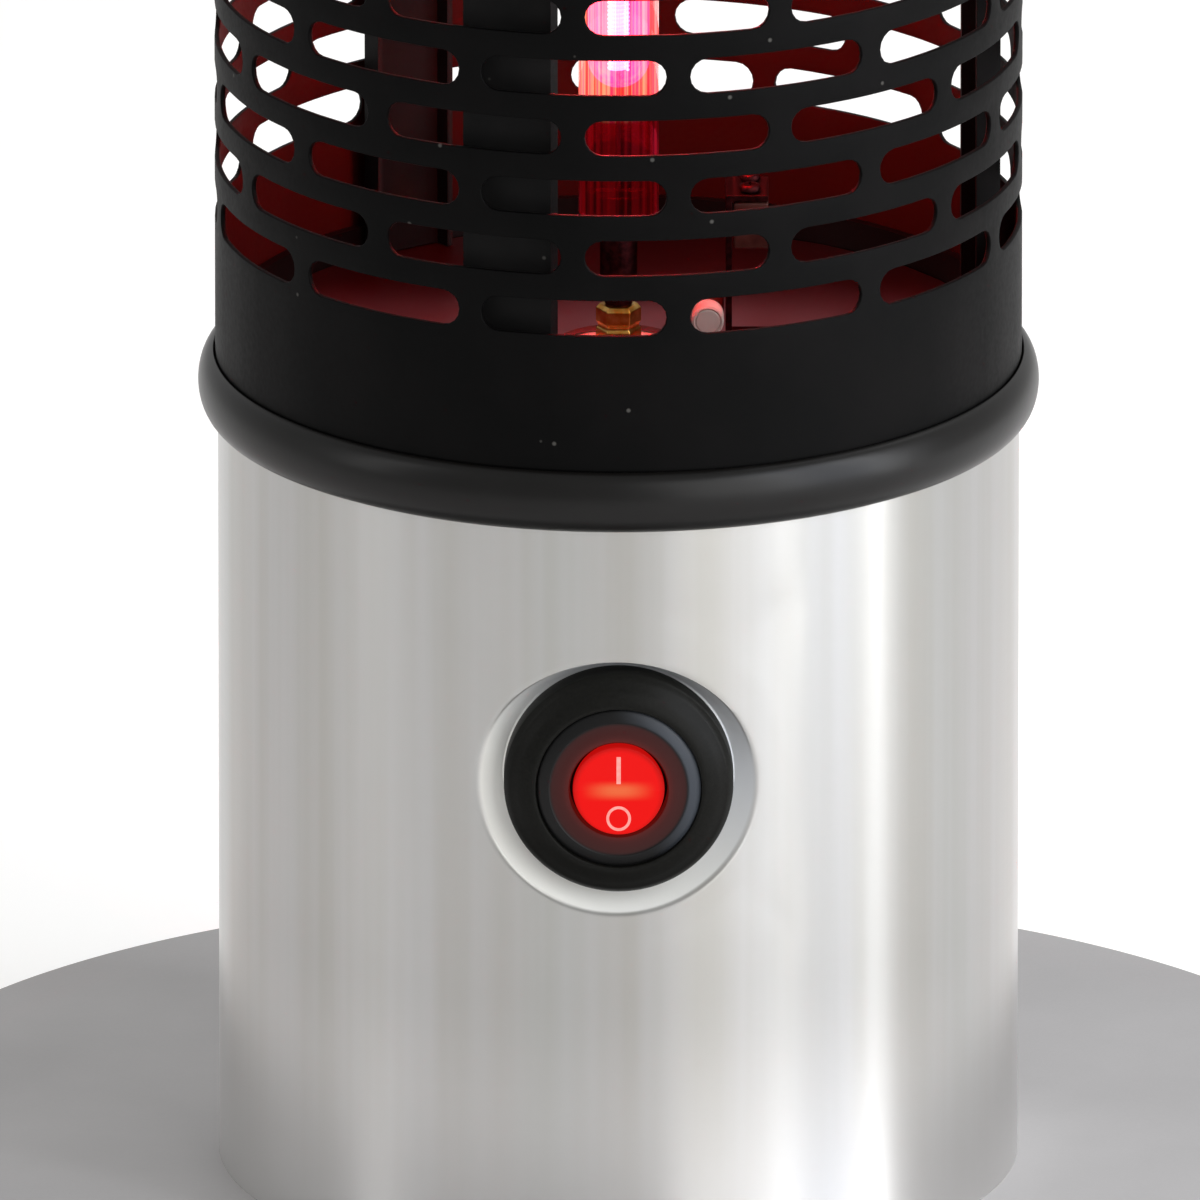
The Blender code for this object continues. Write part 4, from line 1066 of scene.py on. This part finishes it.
# What stays as the CAD gives it: inside the column or the cap, or flat and plain
def dressCadNodes():
    finishes = {"foot_ring": millSteel, "wiring_plate": millSteel, "floor_plate": reflectorSteel,
                "top_plate": reflectorSteel, "switch_housing": blackNylon, "switch_nut": blackNylon,
                "tilt_switch": blackNylon, "gland_nut": blackNylon, "switch_blade_": tinnedBrass,
                "lamp_holder_": steatite, "terminal_block": steatite, "holder_screw_": zincPlate}
    for start, material in finishes.items():
        for node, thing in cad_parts.items():
            if not node.startswith(start):
                continue
            if not thing.material_slots:
                thing.data.materials.append(material)
            for place in thing.material_slots:
                place.material = material


makeBasePlate()
makeFeet()
makeScrews()
print("base, feet and screws made")
makeColumnShell()
makeTrimRings()
makeTopCap()
print("column, rings and cap made")
makeGuard()
makePosts()
print("guard and posts made")
makeSwitch()
makeRocker()
print("switch made")
makeLamp()
makeLampEnds()
makeBracketParts()
makeGland()
dressCadNodes()
print("lamp, bracket and gland made")


# Floor, background and lights
def makeFloor():
    look = {"colour": "#E9E8E6", "lift": 0.3}
    clearAll()
    bpy.ops.mesh.primitive_grid_add(x_subdivisions=4, y_subdivisions=4, size=12)
    floor = adopt("studioFloor")
    material, shader = startFinish("paleFloor")[:2]
    path = addNode(shader, "LightPath", {}, {})
    seen = addMath("MAXIMUM", (path, "Is Camera Ray"), (path, "Is Glossy Ray"))
    seen = addMath("MAXIMUM", seen, (path, "Is Transmission Ray"))
    fill(shader, {"Base Color": look["colour"], "Roughness": 0.9, "Specular IOR Level": 0.0,
                  "Emission Color": "#FFFFFF", "Emission Strength": addMath("MULTIPLY", seen, look["lift"])})
    floor.data.materials.append(material)


# White where the camera looks past the floor, softer where it lights the heater or is mirrored in it
def makeAir():
    look = {"ambient": 0.5, "mirrored": 0.65}
    world = bpy.data.worlds.new("studioAir")
    bpy.context.scene.world = world
    world.use_nodes = True
    background = world.node_tree.nodes["Background"]
    path = addNode(background, "LightPath", {}, {})
    seen = addMath("MAXIMUM", (path, "Is Camera Ray"), (path, "Is Transmission Ray"))
    dim = addRange((path, "Is Glossy Ray"), 0.0, 1.0, look["ambient"], look["mirrored"], "LINEAR")
    level = addRange(seen, 0.0, 1.0, dim, 1.0, "LINEAR")
    fill(background, {"Color": "#FFFFFF", "Strength": level})


# Unit vector towards a place round the heater: azimuth from the front, elevation from the floor
def towards(azimuth, elevation):
    way, rise = math.radians(azimuth), math.radians(elevation)
    return Vector((math.sin(way) * math.cos(rise), -math.cos(way) * math.cos(rise), math.sin(rise)))


def hang(name, data, place):
    thing = bpy.data.objects.new(name, data)
    bpy.context.scene.collection.objects.link(thing)
    thing.location = place
    return thing


def addLamp(name, kind, power, colour, place):
    lamp = bpy.data.lights.new(name, kind)
    lamp.energy = power
    lamp.color = linear(colour)[:3]
    thing = hang(name, lamp, place)
    thing.visible_camera = False
    return lamp, thing


# Softboxes as (name, azimuth, elevation, distance, width and height, power, colour), and the glow of the coil
def makeLights():
    look = {"aim": 0.2, "coil": "#FF2A24", "coilPower": 0.35, "coilLow": 256, "coilStep": 40,
            "coilSize": 0.004}
    softboxes = (("rightSoftbox", 62, 22, 1.3, (0.7, 1.3), 9, "#EAF1FF"),
                 ("nearRightSoftbox", 31, 20, 1.4, (0.8, 1.3), 8, "#FFFFFF"),
                 ("rightStrip", 76, 18, 1.25, (0.12, 1.3), 6, "#FFFFFF"),
                 ("frontStrip", 47, 18, 1.25, (0.12, 1.3), 2.2, "#FFFFFF"),
                 ("leftStrip", -72, 24, 1.5, (0.3, 1.2), 2.6, "#FFFFFF"),
                 ("overhead", 150, 62, 1.6, (1.2, 1.0), 6, "#FFFFFF"))
    for name, azimuth, elevation, distance, size, power, colour in softboxes:
        away = towards(azimuth, elevation)
        lamp, thing = addLamp(name, "AREA", power, colour, Vector((0, 0, look["aim"])) + away * distance)
        lamp.shape = "RECTANGLE"
        lamp.size, lamp.size_y = size
        thing.rotation_euler = (-away).to_track_quat("-Z", "Y").to_euler()
    for number in range(5):
        place = (0, 0, (look["coilLow"] + look["coilStep"] * number) * mm)
        lamp, thing = addLamp(f"coilLight{number + 1}", "POINT", look["coilPower"], look["coil"], place)
        lamp.shadow_soft_size = look["coilSize"]
        thing.visible_transmission = False


def makeCamera():
    sizes = {"distance": 10.5, "elevation": 18.2, "frameWidth": 0.2249, "aim": (-0.00347, 0, 0.1198),
             "sensor": 36.0}
    lens = bpy.data.cameras.new("photoLens")
    lens.sensor_width = sizes["sensor"]
    lens.lens = sizes["sensor"] * sizes["distance"] / sizes["frameWidth"]
    lens.clip_end = 100
    away = towards(0.0, sizes["elevation"])
    camera = hang("photoCamera", lens, Vector(sizes["aim"]) + away * sizes["distance"])
    camera.rotation_euler = (-away).to_track_quat("-Z", "Y").to_euler()
    bpy.context.scene.camera = camera


makeFloor()
makeAir()
makeLights()
makeCamera()
bpy.context.scene.view_settings.view_transform = "Standard"
print("stage, lights and camera set")
